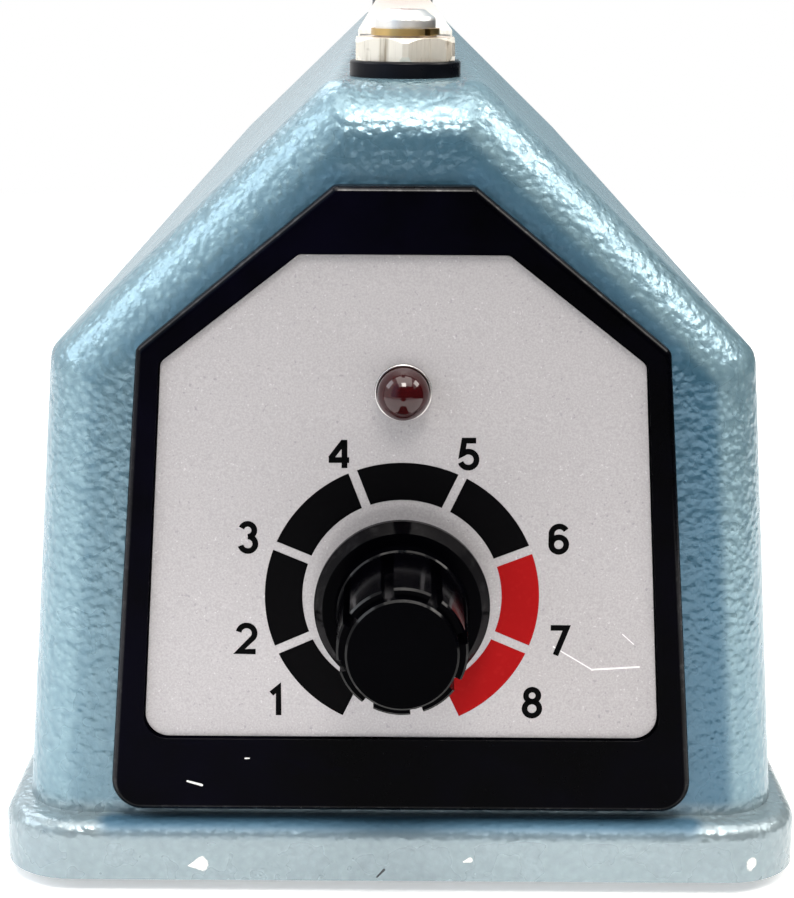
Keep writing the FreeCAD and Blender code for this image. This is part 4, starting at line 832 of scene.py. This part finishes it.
@dataclass
class DialPrint:
    """Printed time ring and numbers round the knob."""

    panel: Panel
    outer: float = 13.3 * MM
    inner: float = 9.66 * MM
    edges: tuple[float, ...] = DIAL_EDGES
    gap: float = 0.88 * MM
    film: float = 0.02 * MM
    lift: float = 0.002 * MM
    digit_height: float = 2.9 * MM
    digit_middle: Vector = Vector((0.3, 0.5))
    pen: float = 0.28 * MM
    digit_places: tuple[Flat, ...] = (
        (-12.2, -10.6), (-15.1, -4.3), (-14.85, 5.9), (-6.0, 14.2),
        (6.3, 14.2), (15.1, 5.95), (15.3, -4.3), (12.85, -10.55),
    )
    dark_steps: int = 5
    block_steps: int = 24
    sharpest: float = 0.45

    def segment(self, shape: bmesh.types.BMesh, index: int) -> None:
        """Adds one block of the ring, with straight gaps to its neighbours.

        Args:
            shape: The shape it joins.
            index: Which block, clockwise from the lowest number.
        """
        blocks = len(self.edges) - 1
        before = self.gap / 2 if index else 0.0
        after = self.gap / 2 if index < blocks - 1 else 0.0
        first, last = math.radians(self.edges[index]), math.radians(self.edges[index + 1])
        grid = bmesh.ops.create_grid(shape, x_segments=self.block_steps, y_segments=1, size=0.5)
        for vert in grid["verts"]:
            radius = self.inner + (self.outer - self.inner) * (vert.co.y + 0.5)
            start = first - math.asin(before / radius)
            end = last + math.asin(after / radius)
            angle = start + (end - start) * (vert.co.x + 0.5)
            vert.co = Vector((math.cos(angle), math.sin(angle), 0.0)) * radius

    def band(self, name: str, indices: range, ink: Ink) -> None:
        """Adds the blocks of one colour.

        Args:
            name: The piece's name.
            indices: The blocks.
            ink: Their ink.
        """
        shape = bmesh.new()
        for index in indices:
            self.segment(shape, index)
        self.thicken(shape)
        put(name, closed_mesh(name, shape), ink.material(), Body.BASE)

    def stroke(self, shape: bmesh.types.BMesh, points: list[Vector]) -> None:
        """Adds one pen stroke as a flat ribbon.

        Args:
            shape: The shape it joins.
            points: The middle of the ribbon, in metres.
        """
        last = len(points) - 1
        ways = [(after - before).normalized() for before, after in zip(points, points[1:])]
        sides = []
        for index in range(len(points)):
            before, after = ways[max(index - 1, 0)], ways[min(index, last - 1)]
            if index in (0, last) and (points[0] - points[last]).length < self.pen:
                before, after = ways[-1], ways[0]
            middle = (before + after).normalized()
            reach = self.pen / max(self.sharpest, middle.dot(after))
            sides.append(Vector((-middle.y, middle.x)) * reach)
        grid = bmesh.ops.create_grid(shape, x_segments=last, y_segments=1, size=0.5)
        for vert in grid["verts"]:
            index = round((vert.co.x + 0.5) * last)
            flat = points[index] + sides[index] * (2.0 * vert.co.y)
            vert.co = flat.to_3d()

    def thicken(self, shape: bmesh.types.BMesh) -> None:
        """Raises flat print into a film on the plate.

        Args:
            shape: The flat print, on the dial's own plane.
        """
        bmesh.ops.recalc_face_normals(shape, faces=shape.faces)
        raised = bmesh.ops.extrude_face_region(shape, geom=list(shape.faces), use_keep_orig=True)
        tops = [item for item in raised["geom"] if isinstance(item, bmesh.types.BMVert)]
        bmesh.ops.translate(shape, verts=tops, vec=(0, 0, self.film))
        bmesh.ops.transform(shape, matrix=self.panel.matrix(self.lift), verts=shape.verts)

    def numbers(self, ink: Ink) -> None:
        """Adds the numbers round the ring.

        Args:
            ink: Their ink.
        """
        shape = bmesh.new()
        for index, (across, up) in enumerate(self.digit_places):
            centre = Vector((across, up)) * MM
            for points in strokes(index + 1):
                drawn = [(point - self.digit_middle) * self.digit_height for point in points]
                self.stroke(shape, [centre + point for point in drawn])
        self.thicken(shape)
        put("dial_numbers", closed_mesh("dial_numbers", shape), ink.material(), Body.BASE)

    def build(self) -> None:
        """Builds the whole print."""
        black = Ink("ink_black", srgb(2, 2, 3), srgb(6, 6, 7))
        red = Ink("ink_red", srgb(146, 16, 18), srgb(160, 30, 30))
        last = len(self.edges) - 1
        self.band("dial_band_dark", range(self.dark_steps), black)
        self.band("dial_band_red", range(self.dark_steps, last), red)
        self.numbers(black)


@dataclass
class KnobPointer:
    """White line in the knob's skirt that points at the set time."""

    panel: Panel
    inner: float = 6.5 * MM
    outer: float = 7.5 * MM
    half: float = 0.3 * MM
    lift: float = 5.1 * MM
    film: float = 0.05 * MM
    direction: float = math.radians(DIAL_EDGES[0])
    rounding: float = 0.7
    round_steps: int = 4

    def build(self) -> None:
        """Builds the line."""
        shape = bmesh.new()
        bmesh.ops.create_cube(shape, size=1.0)
        size = (self.outer - self.inner, self.half * 2, self.film)
        bmesh.ops.scale(shape, vec=size, verts=shape.verts)
        rise = [abs(edge.verts[0].co.z - edge.verts[1].co.z) for edge in shape.edges]
        corners = [edge for edge, height in zip(shape.edges, rise) if height > self.film / 2]
        bmesh.ops.bevel(
            shape, geom=corners, offset=self.half * self.rounding, affect="EDGES",
            segments=self.round_steps, profile=0.5, material=-1,
        )
        bmesh.ops.translate(shape, verts=shape.verts, vec=((self.inner + self.outer) / 2, 0, 0))
        turn = self.panel.matrix(self.lift) @ Matrix.Rotation(self.direction, 4, "Z")
        bmesh.ops.transform(shape, matrix=turn, verts=shape.verts)
        ink = Ink("ink_white", srgb(232, 230, 224), srgb(196, 194, 188))
        put("knob_pointer", closed_mesh("knob_pointer", shape), ink.material(), Body.KNOB)


@dataclass
class LampRing:
    """Thin bright collar round the lamp."""

    panel: Panel
    up: float = LAMP_UP * MM
    radius: float = 2.63 * MM
    wire: float = 0.1 * MM
    sides: int = 10
    steps: int = 64

    def build(self, metal: Metal) -> None:
        """Builds the collar.

        Args:
            metal: Its finish.
        """
        shape = bmesh.new()
        start = Matrix.Translation((self.radius, 0, 0)) @ Matrix.Rotation(math.pi / 2, 4, "X")
        bmesh.ops.create_circle(shape, segments=self.sides, radius=self.wire, matrix=start)
        bmesh.ops.spin(
            shape, geom=list(shape.verts) + list(shape.edges), cent=(0, 0, 0), axis=(0, 0, 1),
            angle=math.tau, steps=self.steps, use_merge=True,
        )
        place = self.panel.matrix(self.wire / 2) @ Matrix.Translation((0, self.up, 0))
        bmesh.ops.transform(shape, matrix=place, verts=shape.verts)
        mesh = closed_mesh("lamp_collar", shape, True)
        put("lamp_collar", mesh, metal.material(), Body.BASE)


@dataclass
class ReturnSpring:
    """Coiled wire spring under the push rod's collar, in the place of the CAD node."""

    low: float
    high: float
    along: float
    radius: float
    wire: float = 0.45 * MM
    slack: float = 0.09 * MM
    turns: float = 3.5
    closed_turns: float = 0.75
    end_pitch: float = 0.35
    sides: int = 14
    steps_per_turn: int = 40

    @classmethod
    def fitted(cls, solid: bpy.types.Object) -> "ReturnSpring":
        """Returns the spring that fills the box of the CAD node.

        Args:
            solid: The CAD node.

        Returns:
            The spring.
        """
        corners = [solid.matrix_world @ Vector(corner) for corner in solid.bound_box]
        low, high = [Vector([pick(axis) for axis in zip(*corners)]) for pick in (min, max)]
        reach = (high.x - low.x) / 2
        return cls(low.z, high.z, (low.y + high.y) / 2, reach - cls.wire)

    def pressed(self) -> float:
        """Returns the share of its height that is left when the push rod is down."""
        travel = joint("rod_press")["range_m"][1]
        return 1.0 - (travel + self.slack) / (self.high - self.low)

    def heights(self) -> list[float]:
        """Works out how the wire climbs, with closer turns at its ends.

        Returns:
            Its height at each step.
        """
        steps = round(self.turns * self.steps_per_turn)
        ramp = [0.0]
        for step in range(steps):
            turn = (step + 0.5) / self.steps_per_turn
            ends = min(turn, self.turns - turn) / self.closed_turns
            pitch = self.end_pitch + (1.0 - self.end_pitch) * min(1.0, ends)
            ramp.append(ramp[-1] + pitch)
        room = self.high - self.low - 2 * self.wire
        return [self.low + self.wire + room * rise / ramp[-1] for rise in ramp]

    def build(self, metal: Metal) -> None:
        """Builds the wire at its free height, in place of the hidden CAD node.

        Args:
            metal: Its finish.
        """
        shape = bmesh.new()
        heights = self.heights()
        upright = Matrix.Rotation(math.pi / 2, 4, "X")
        start = Matrix.Translation((self.radius, self.along, heights[0])) @ upright
        bmesh.ops.create_circle(shape, segments=self.sides, radius=self.wire, matrix=start)
        edges = list(shape.edges)
        turn = math.tau / self.steps_per_turn
        for before, after in zip(heights, heights[1:]):
            swept = bmesh.ops.spin(
                shape, geom=edges, cent=(0, self.along, 0), axis=(0, 0, 1),
                dvec=(0, 0, after - before), angle=turn, steps=1,
            )
            edges = [item for item in swept["geom_last"] if isinstance(item, bmesh.types.BMEdge)]
        bmesh.ops.remove_doubles(shape, verts=shape.verts, dist=MERGE)
        open_edges = [edge for edge in shape.edges if edge.is_boundary]
        bmesh.ops.holes_fill(shape, edges=open_edges, sides=self.sides)
        mesh = closed_mesh("return_spring_wire", shape, True)
        piece = put("return_spring_wire", mesh, metal.material(), Body.BASE)
        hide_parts("return_spring")
        self.pressed()
        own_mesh(piece)


@dataclass(frozen=True)
class SoftLamp:
    """Square soft lamp: its place and side in metres, its power in watts."""

    name: str
    place: Point
    size: float
    watts: float
    tint: Colour
    mirrored: bool = True


@dataclass(frozen=True)
class DimCard:
    """Dim side of the room, with one colour on the right and one on the far left.

    At a spin of 0 it faces +Y, and its colour changes between the two places along X.
    """

    name: str
    place: Point
    spin: float
    size: Flat
    right: Colour
    left: Colour
    turn_at: Flat = (-0.12, -0.7)


@dataclass
class Studio:
    """Floor, soft lamps, white surround and the camera."""

    lamps: tuple[SoftLamp, ...] = (
        SoftLamp("top", (0.03, -0.7, 0.85), 0.3, 5.4, WARM),
        SoftLamp("over", (0.05, -0.32, 0.8), 0.8, 6.2, WARM),
        SoftLamp("slope_right", (0.75, -0.14, 0.62), 0.45, 5.4, WARM),
        SoftLamp("slope_left", (-0.75, -0.14, 0.62), 0.45, 2.6, COOL),
        SoftLamp("back", (-0.35, 0.55, 0.75), 0.5, 3.0, COOL),
        SoftLamp("left", (-0.3, -0.3, 0.16), 0.2, 0.55, COOL, mirrored=False),
    )
    cards: tuple[DimCard, ...] = (
        DimCard(
            "room_front", (0.0, -0.9, 0.5), 0.0, (2.2, 2.0),
            srgb(8, 9, 13), srgb(150, 178, 205),
        ),
        DimCard(
            "room_right", (0.22, -0.05, 0.095), math.pi / 2, (0.7, 0.19),
            srgb(10, 20, 28), srgb(10, 20, 28),
        ),
        DimCard(
            "room_back", (0.0, 0.9, 0.5), math.pi, (2.4, 2.0),
            srgb(172, 188, 196), WHITE, (0.02, -0.06),
        ),
    )
    aim: Vector = Vector((0.0, -0.08, 0.04))
    floor_reach: float = 6.0
    floor_glow: float = 0.4
    floor_fade: Flat = (0.24, 0.5)
    camera_place: Vector = Vector((-0.57 * MM, -332.8 * MM, 90.56 * MM))
    pitch: float = math.radians(13.47)
    roll: float = math.radians(0.36)
    lens: float = 82.18
    sensor: float = 36.0
    ambient: float = 0.16

    def lamp(self, lamp: SoftLamp) -> None:
        """Adds a lamp that points at the casing's front.

        Args:
            lamp: The lamp.
        """
        light = bpy.data.lights.new(lamp.name, "AREA")
        light.shape = "SQUARE"
        light.size = lamp.size
        light.energy = lamp.watts
        light.color = lamp.tint[:3]
        holder = bpy.data.objects.new(lamp.name, light)
        holder.location = lamp.place
        way = self.aim - Vector(lamp.place)
        holder.rotation_euler = way.to_track_quat("-Z", "Y").to_euler()
        holder.visible_glossy = lamp.mirrored
        bpy.context.scene.collection.objects.link(holder)

    def seen(self, shader: Shader) -> Value:
        """Picks the rays that show the surround: camera, mirror and glass rays.

        Args:
            shader: The tree it joins.

        Returns:
            1 for those rays and 0 for the rest.
        """
        names = ("Is Camera Ray", "Is Glossy Ray", "Is Transmission Ray")
        camera, mirror, glass = [shader.add("ShaderNodeLightPath", out=name) for name in names]
        return camera.math("MAXIMUM", mirror).math("MAXIMUM", glass)

    def stand(self, name: str, shape: bmesh.types.BMesh, shader: Shader) -> bpy.types.Object:
        """Adds a part of the studio.

        Args:
            name: Its name.
            shape: Its shape.
            shader: Its material's tree.

        Returns:
            The new object.
        """
        mesh = closed_mesh(name, shape)
        mesh.materials.append(shader.owner)
        item = bpy.data.objects.new(name, mesh)
        bpy.context.scene.collection.objects.link(item)
        return item

    def floor(self) -> None:
        """Adds the pale floor."""
        shape = bmesh.new()
        bmesh.ops.create_grid(shape, x_segments=8, y_segments=8, size=self.floor_reach)
        shader = Shader.named("floor_white")
        tone = shader.blend(shader.noise(3.0), srgb(240, 240, 240), srgb(244, 244, 244))
        skin = shader.add("ShaderNodeBsdfDiffuse", inputs={"Color": tone})
        glowing = {"Color": WHITE, "Strength": self.floor_glow}
        glow = shader.add("ShaderNodeEmission", inputs=glowing)
        near = shader.add("ShaderNodeAddShader", inputs={0: skin, 1: glow})
        white = shader.add("ShaderNodeEmission", inputs={"Color": WHITE, "Strength": 1.0})
        far = shader.away((0.0, 0.0, 0.0)).step(*self.floor_fade)
        lit = shader.add("ShaderNodeMixShader", inputs={0: far, 1: near, 2: white})
        mixed = {0: self.seen(shader), 1: skin, 2: lit}
        shader.end(shader.add("ShaderNodeMixShader", inputs=mixed))
        self.stand("floor", shape, shader)

    def surround(self) -> None:
        """Sets the world: white where it is seen, softer as light."""
        shader = Shader(bpy.data.worlds.new("surround"))
        tint = {"Color": srgb(236, 243, 250), "Strength": self.ambient}
        soft = shader.add("ShaderNodeBackground", inputs=tint)
        white = shader.add("ShaderNodeBackground", inputs={"Color": WHITE, "Strength": 1.0})
        mixed = {0: self.seen(shader), 1: soft, 2: white}
        bpy.context.scene.world = shader.end(shader.add("ShaderNodeMixShader", inputs=mixed))

    def dim_card(self, card: DimCard) -> None:
        """Adds a dim side of the room, seen only in mirror rays.

        Args:
            card: The side.
        """
        shape = bmesh.new()
        bmesh.ops.create_grid(shape, x_segments=1, y_segments=1, size=0.5)
        turn = Matrix.Rotation(card.spin, 4, "Z") @ Matrix.Rotation(-math.pi / 2, 4, "X")
        wide = Matrix.Diagonal((*card.size, 1.0, 1.0))
        stood = Matrix.Translation(card.place) @ turn @ wide
        bmesh.ops.transform(shape, matrix=stood, verts=shape.verts)
        shader = Shader.named(card.name)
        colour = shader.blend(shader.axis(Axis.X).step(*card.turn_at), card.right, card.left)
        shader.end(shader.add("ShaderNodeEmission", inputs={"Color": colour, "Strength": 1.0}))
        side = self.stand(card.name, shape, shader)
        side.visible_camera = False
        side.visible_diffuse = False
        side.visible_shadow = False
        side.visible_transmission = False

    def camera(self) -> None:
        """Adds the camera at the photograph's view."""
        data = bpy.data.cameras.new("camera")
        data.sensor_fit = "VERTICAL"
        data.sensor_height = self.sensor
        data.lens = self.lens
        data.clip_start = 0.01
        holder = bpy.data.objects.new("camera", data)
        tilt = Matrix.Rotation(math.pi / 2 - self.pitch, 4, "X")
        turn = tilt @ Matrix.Rotation(self.roll, 4, "Z")
        holder.matrix_world = Matrix.Translation(self.camera_place) @ turn
        bpy.context.scene.collection.objects.link(holder)
        bpy.context.scene.camera = holder

    def build(self) -> None:
        """Builds the whole studio."""
        for lamp in self.lamps:
            self.lamp(lamp)
        self.floor()
        self.surround()
        for card in self.cards:
            self.dim_card(card)
        self.camera()
        bpy.context.scene.view_settings.view_transform = "Standard"


@dataclass(frozen=True)
class Outfit:
    """One finish and the nodes that wear it."""

    finish: Finish
    nodes: tuple[str, ...]


@dataclass
class Wardrobe:
    """Finishes of the carried CAD nodes, with places round the dial in millimetres."""

    panel: Panel
    flange_front: float = -145.0 * MM
    lamp_up: float = LAMP_UP
    lamp_lift: float = 0.5
    bezel_lift: float = 0.6
    bezel_foot: Flat = (28.4, -22.9)
    bezel_shoulder: Flat = (25.6, 24.4)
    bezel_top: Flat = (6.8, 40.0)
    foot_shade_width: float = 2.4
    slope_shade_width: float = 3.2
    top_shade_width: float = 2.6

    def flange_mark(self, start: Flat, end: Flat, width: float, taper: float) -> Mark:
        """Returns a mark on the flange's front, from places across and up in millimetres."""
        first, last = [(across * MM, self.flange_front, up * MM) for across, up in (start, end)]
        return Mark(first, last, width * MM, taper)

    def plate_mark(self, start: Flat, end: Flat, width: float, lift: float = 0.0) -> Mark:
        """Returns a mark on the dial plate, or before it by the lift."""
        first, last = [tuple(self.panel.point(*place, lift)) for place in (start, end)]
        return Mark(first, last, width * MM)

    def creases(self) -> tuple[Mark, ...]:
        """Lays the bands of painted shade round the bezel's foot, slopes and top.

        Returns:
            The bands of painted shade.
        """
        foot, shoulder, top = self.bezel_foot, self.bezel_shoulder, self.bezel_top
        left_foot, left_shoulder, left_top = [(-x, y) for x, y in (foot, shoulder, top)]
        return (
            self.plate_mark(left_foot, foot, self.foot_shade_width),
            self.plate_mark(shoulder, top, self.slope_shade_width),
            self.plate_mark(top, left_top, self.top_shade_width),
            self.plate_mark(left_top, left_shoulder, self.slope_shade_width),
        )

    def painted(self) -> list[Outfit]:
        """Lists the painted metal, with the casing's chips and grime.

        Returns:
            The finishes with their nodes.
        """
        chips = (
            self.flange_mark((-21.0, 3.0), (-19.7, 3.2), 1.05, 0.95),
            self.flange_mark((36.0, 3.2), (35.0, 3.4), 1.1, 0.8),
            self.flange_mark((6.3, 3.6), (6.9, 3.8), 0.4, 0.6),
        )
        hairs = (self.flange_mark((-2.3, 1.9), (-1.6, 2.7), 0.17, 0.3),)
        case = HammerPaint("paint_case", chips=chips, hairs=hairs, creases=self.creases())
        return [Outfit(case, ("housing",)), Outfit(HammerPaint("paint_arm"), ("arm",))]

    def controls(self) -> list[Outfit]:
        """Lists the bezel, the dial plate, the lamp and the knob.

        Returns:
            The finishes with their nodes.
        """
        nicks = (
            self.plate_mark((-21.0, -18.7), (-19.6, -19.1), 0.15, self.bezel_lift),
            self.plate_mark((-15.3, -16.3), (-14.9, -16.3), 0.1, self.bezel_lift),
        )
        scratches = (
            self.plate_mark((14.8, -4.9), (18.6, -7.2), 0.09),
            self.plate_mark((18.6, -7.2), (23.2, -6.9), 0.13),
            self.plate_mark((21.5, -3.6), (22.6, -4.6), 0.07),
        )
        # The bezel's worn colour is navy: a painted reflection of the blue room, laid over its wear
        # patches.
        bezel = Moulding(
            "satin_black", srgb(1, 1, 2), srgb(5, 4, 18), rough=0.3, shine=0.02, grain=900.0,
            depth=0.012 * MM, matt_side=tuple(self.panel.outward), nicks=nicks,
        )
        knob = Moulding(
            "gloss_black", srgb(1, 1, 2), srgb(3, 3, 5), rough=0.16, shine=0.01, grain=700.0,
            depth=0.006 * MM, matt_side=tuple(self.panel.outward),
        )
        lamp = tuple(self.panel.point(0.0, self.lamp_up, self.lamp_lift))
        return [
            Outfit(bezel, ("front_bezel",)),
            Outfit(SpeckledPlate("plate_silver", scratches=scratches), ("dial_plate",)),
            Outfit(LampLens("lens_red", lamp), ("indicator_lens",)),
            Outfit(knob, ("control_knob",)),
        ]

    def metals(self) -> list[Outfit]:
        """Lists the bare and plated metals.

        Returns:
            The finishes with their nodes.
        """
        along = (900.0, 20.0, 900.0)
        nickel = Metal(
            "nickel", srgb(236, 230, 218), srgb(150, 138, 120), rough=0.5,
            lines=(700.0, 700.0, 30.0), depth=0.03 * MM, tarnish=0.15, streaks=0.8,
        )
        brass = Metal("brass", srgb(206, 176, 118), srgb(140, 112, 70), rough=0.3)
        silver = Metal("silver_plate", srgb(244, 244, 242), srgb(206, 204, 200), rough=0.36)
        zinc = Metal("zinc", srgb(196, 200, 204), srgb(140, 144, 146), rough=0.34)
        steel = Metal(
            "bright_steel", srgb(206, 206, 206), srgb(150, 148, 144), rough=0.2,
            lines=(900.0, 60.0, 60.0),
        )
        bar = Metal("aluminium", srgb(214, 216, 218), srgb(172, 174, 176), rough=0.3, lines=along)
        cover = Metal(
            "cover_steel", srgb(176, 180, 184), srgb(120, 122, 126), rough=0.42,
            lines=(300.0, 30.0, 300.0),
        )
        ribbon = Metal(
            "ribbon", srgb(168, 150, 134), srgb(96, 86, 92), rough=0.35, lines=along, tarnish=0.8,
        )
        lever = Metal("lever_steel", srgb(200, 198, 190), srgb(150, 146, 138), rough=0.25)
        return [
            Outfit(nickel, ("terminal_posts", "terminal_nuts")),
            Outfit(brass, ("terminal_washers", "arm_bush", "rod_guide")),
            Outfit(silver, ("terminal_screws", "handle_screws", "bezel_screws")),
            Outfit(zinc, (
                "hinge_post", "bracket_screws", "cover_screws", "switch_screws", "board_screws",
                "transformer_screws", "board_standoffs", "switch_bracket", "transformer_strap",
                "pot_nut", "pot_washer", "pin_clip",
            )),
            Outfit(steel, ("hinge_pin", "push_rod", "pot_shaft")),
            Outfit(bar, ("bed_bar", "pressure_bar")),
            Outfit(cover, ("bottom_cover",)),
            Outfit(ribbon, ("heating_element",)),
            Outfit(lever, ("switch_lever",)),
        ]

    def mouldings(self) -> list[Outfit]:
        """Lists the insulators, grip, silicone, rubber, gland and tape.

        Returns:
            The finishes with their nodes.
        """
        insulator = Moulding(
            "insulator_black", srgb(9, 10, 15), srgb(20, 22, 32), rough=0.3, shine=0.12,
        )
        grip = Moulding(
            "handle_black", srgb(15, 15, 18), srgb(34, 35, 40), rough=0.42, grain=900.0,
            depth=0.03 * MM,
        )
        silicone = Moulding(
            "silicone", srgb(196, 74, 50), srgb(168, 60, 44), rough=0.55, shine=0.35, grain=600.0,
            depth=0.03 * MM,
        )
        rubber = Moulding(
            "rubber", srgb(22, 22, 23), srgb(44, 43, 42), rough=0.75, shine=0.25, grain=800.0,
            depth=0.05 * MM,
        )
        nylon = Moulding(
            "gland_nylon", srgb(24, 24, 26), srgb(42, 42, 45), rough=0.45, grain=700.0,
            depth=0.03 * MM,
        )
        tape = Woven("tape", srgb(246, 244, 238), srgb(232, 228, 218))
        return [
            Outfit(insulator, ("terminal_insulators", "inner_insulators")),
            Outfit(grip, ("handle",)),
            Outfit(silicone, ("silicone_strip",)),
            Outfit(rubber, ("rubber_feet", "gland_seal")),
            Outfit(nylon, ("gland_body", "gland_cap", "gland_locknut")),
            Outfit(tape, ("ptfe_tape",)),
        ]

    def electrics(self) -> list[Outfit]:
        """Lists the control, lamp body, switch, timer board, transformer and leads inside.

        Returns:
            The finishes with their nodes.
        """
        phenolic = Moulding("phenolic", srgb(58, 34, 24), srgb(84, 52, 36), rough=0.5)
        lamp_body = Moulding("lamp_body", srgb(46, 44, 46), srgb(70, 68, 70), rough=0.5, shine=0.35)
        switch = Moulding("switch_case", srgb(30, 30, 33), srgb(52, 52, 56), rough=0.48)
        button = Moulding("switch_red", srgb(172, 40, 36), srgb(140, 30, 28), rough=0.42)
        relay = Moulding("relay_blue", srgb(30, 70, 132), srgb(46, 90, 150))
        sleeve = Moulding(
            "capacitor_sleeve", srgb(28, 40, 66), srgb(54, 66, 92), rough=0.32, shine=0.45,
        )
        epoxy = Moulding("chip_epoxy", srgb(26, 26, 27), srgb(46, 46, 48), rough=0.6, shine=0.3)
        bobbin = Moulding("bobbin_nylon", srgb(226, 218, 198), srgb(206, 196, 172), rough=0.5)
        core = Banded("core_steel", srgb(120, 122, 128), srgb(52, 52, 58), 1.0 * MM, Axis.Y, 0.8)
        copper = Banded("copper_wire", srgb(190, 104, 62), srgb(96, 44, 26), 0.8 * MM, Axis.Y, 0.75)
        lead = Moulding(
            "lead_sleeve", srgb(188, 182, 168), srgb(160, 152, 138), rough=0.6, shine=0.3,
            grain=1200.0, depth=0.04 * MM,
        )
        return [
            Outfit(phenolic, ("pot_body",)),
            Outfit(lamp_body, ("lamp_holder",)),
            Outfit(switch, ("micro_switch",)),
            Outfit(button, ("switch_button",)),
            Outfit(relay, ("relay",)),
            Outfit(sleeve, ("capacitors",)),
            Outfit(epoxy, ("timer_chip",)),
            Outfit(bobbin, ("transformer_bobbin",)),
            Outfit(core, ("transformer_core",)),
            Outfit(copper, ("transformer_winding",)),
            Outfit(BoardCoat("board_green"), ("timer_board",)),
            Outfit(lead, ("secondary_lead_front", "secondary_lead_rear")),
        ]

    def dress(self) -> None:
        """Gives the listed CAD nodes their finishes and logs the nodes left without one."""
        nodes = frame["nodes"]
        bare = set(nodes)
        groups = (self.painted, self.controls, self.metals, self.mouldings, self.electrics)
        for outfit in [outfit for group in groups for outfit in group()]:
            material = outfit.finish.material()
            for name in outfit.nodes:
                mesh = nodes[name].data
                mesh.materials.clear()
                mesh.materials.append(material)
                bare.discard(name)
        LOG.info("nodes without a finish: %s", sorted(bare))


def joint(name: str) -> dict[str, object]:
    """Returns one of the frame's joints."""
    return next(item for item in frame["joints"] if item["name"] == name)


def dial_panel() -> Panel:
    """Returns the dial plate's plane, from the joint that the knob turns on."""
    turn = joint("knob_turn")
    return Panel(Vector(turn["pos_m"]), -Vector(turn["axis"]).normalized())


def main() -> None:
    """Builds every sub-assembly."""
    logging.basicConfig(level=logging.INFO, format="%(message)s")
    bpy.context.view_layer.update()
    panel = dial_panel()
    Studio().build()
    Wardrobe(panel).dress()
    DialPrint(panel).build()
    KnobPointer(panel).build()
    collar = Metal("collar_bright", srgb(226, 224, 222), srgb(180, 178, 176), rough=0.3)
    LampRing(panel).build(collar)
    wire = Metal(
        "spring_steel", srgb(186, 186, 186), srgb(120, 118, 114), rough=0.25,
        lines=(300.0, 300.0, 300.0),
    )
    ReturnSpring.fitted(frame["nodes"]["return_spring"]).build(wire)


if __name__ == "__main__":
    main()
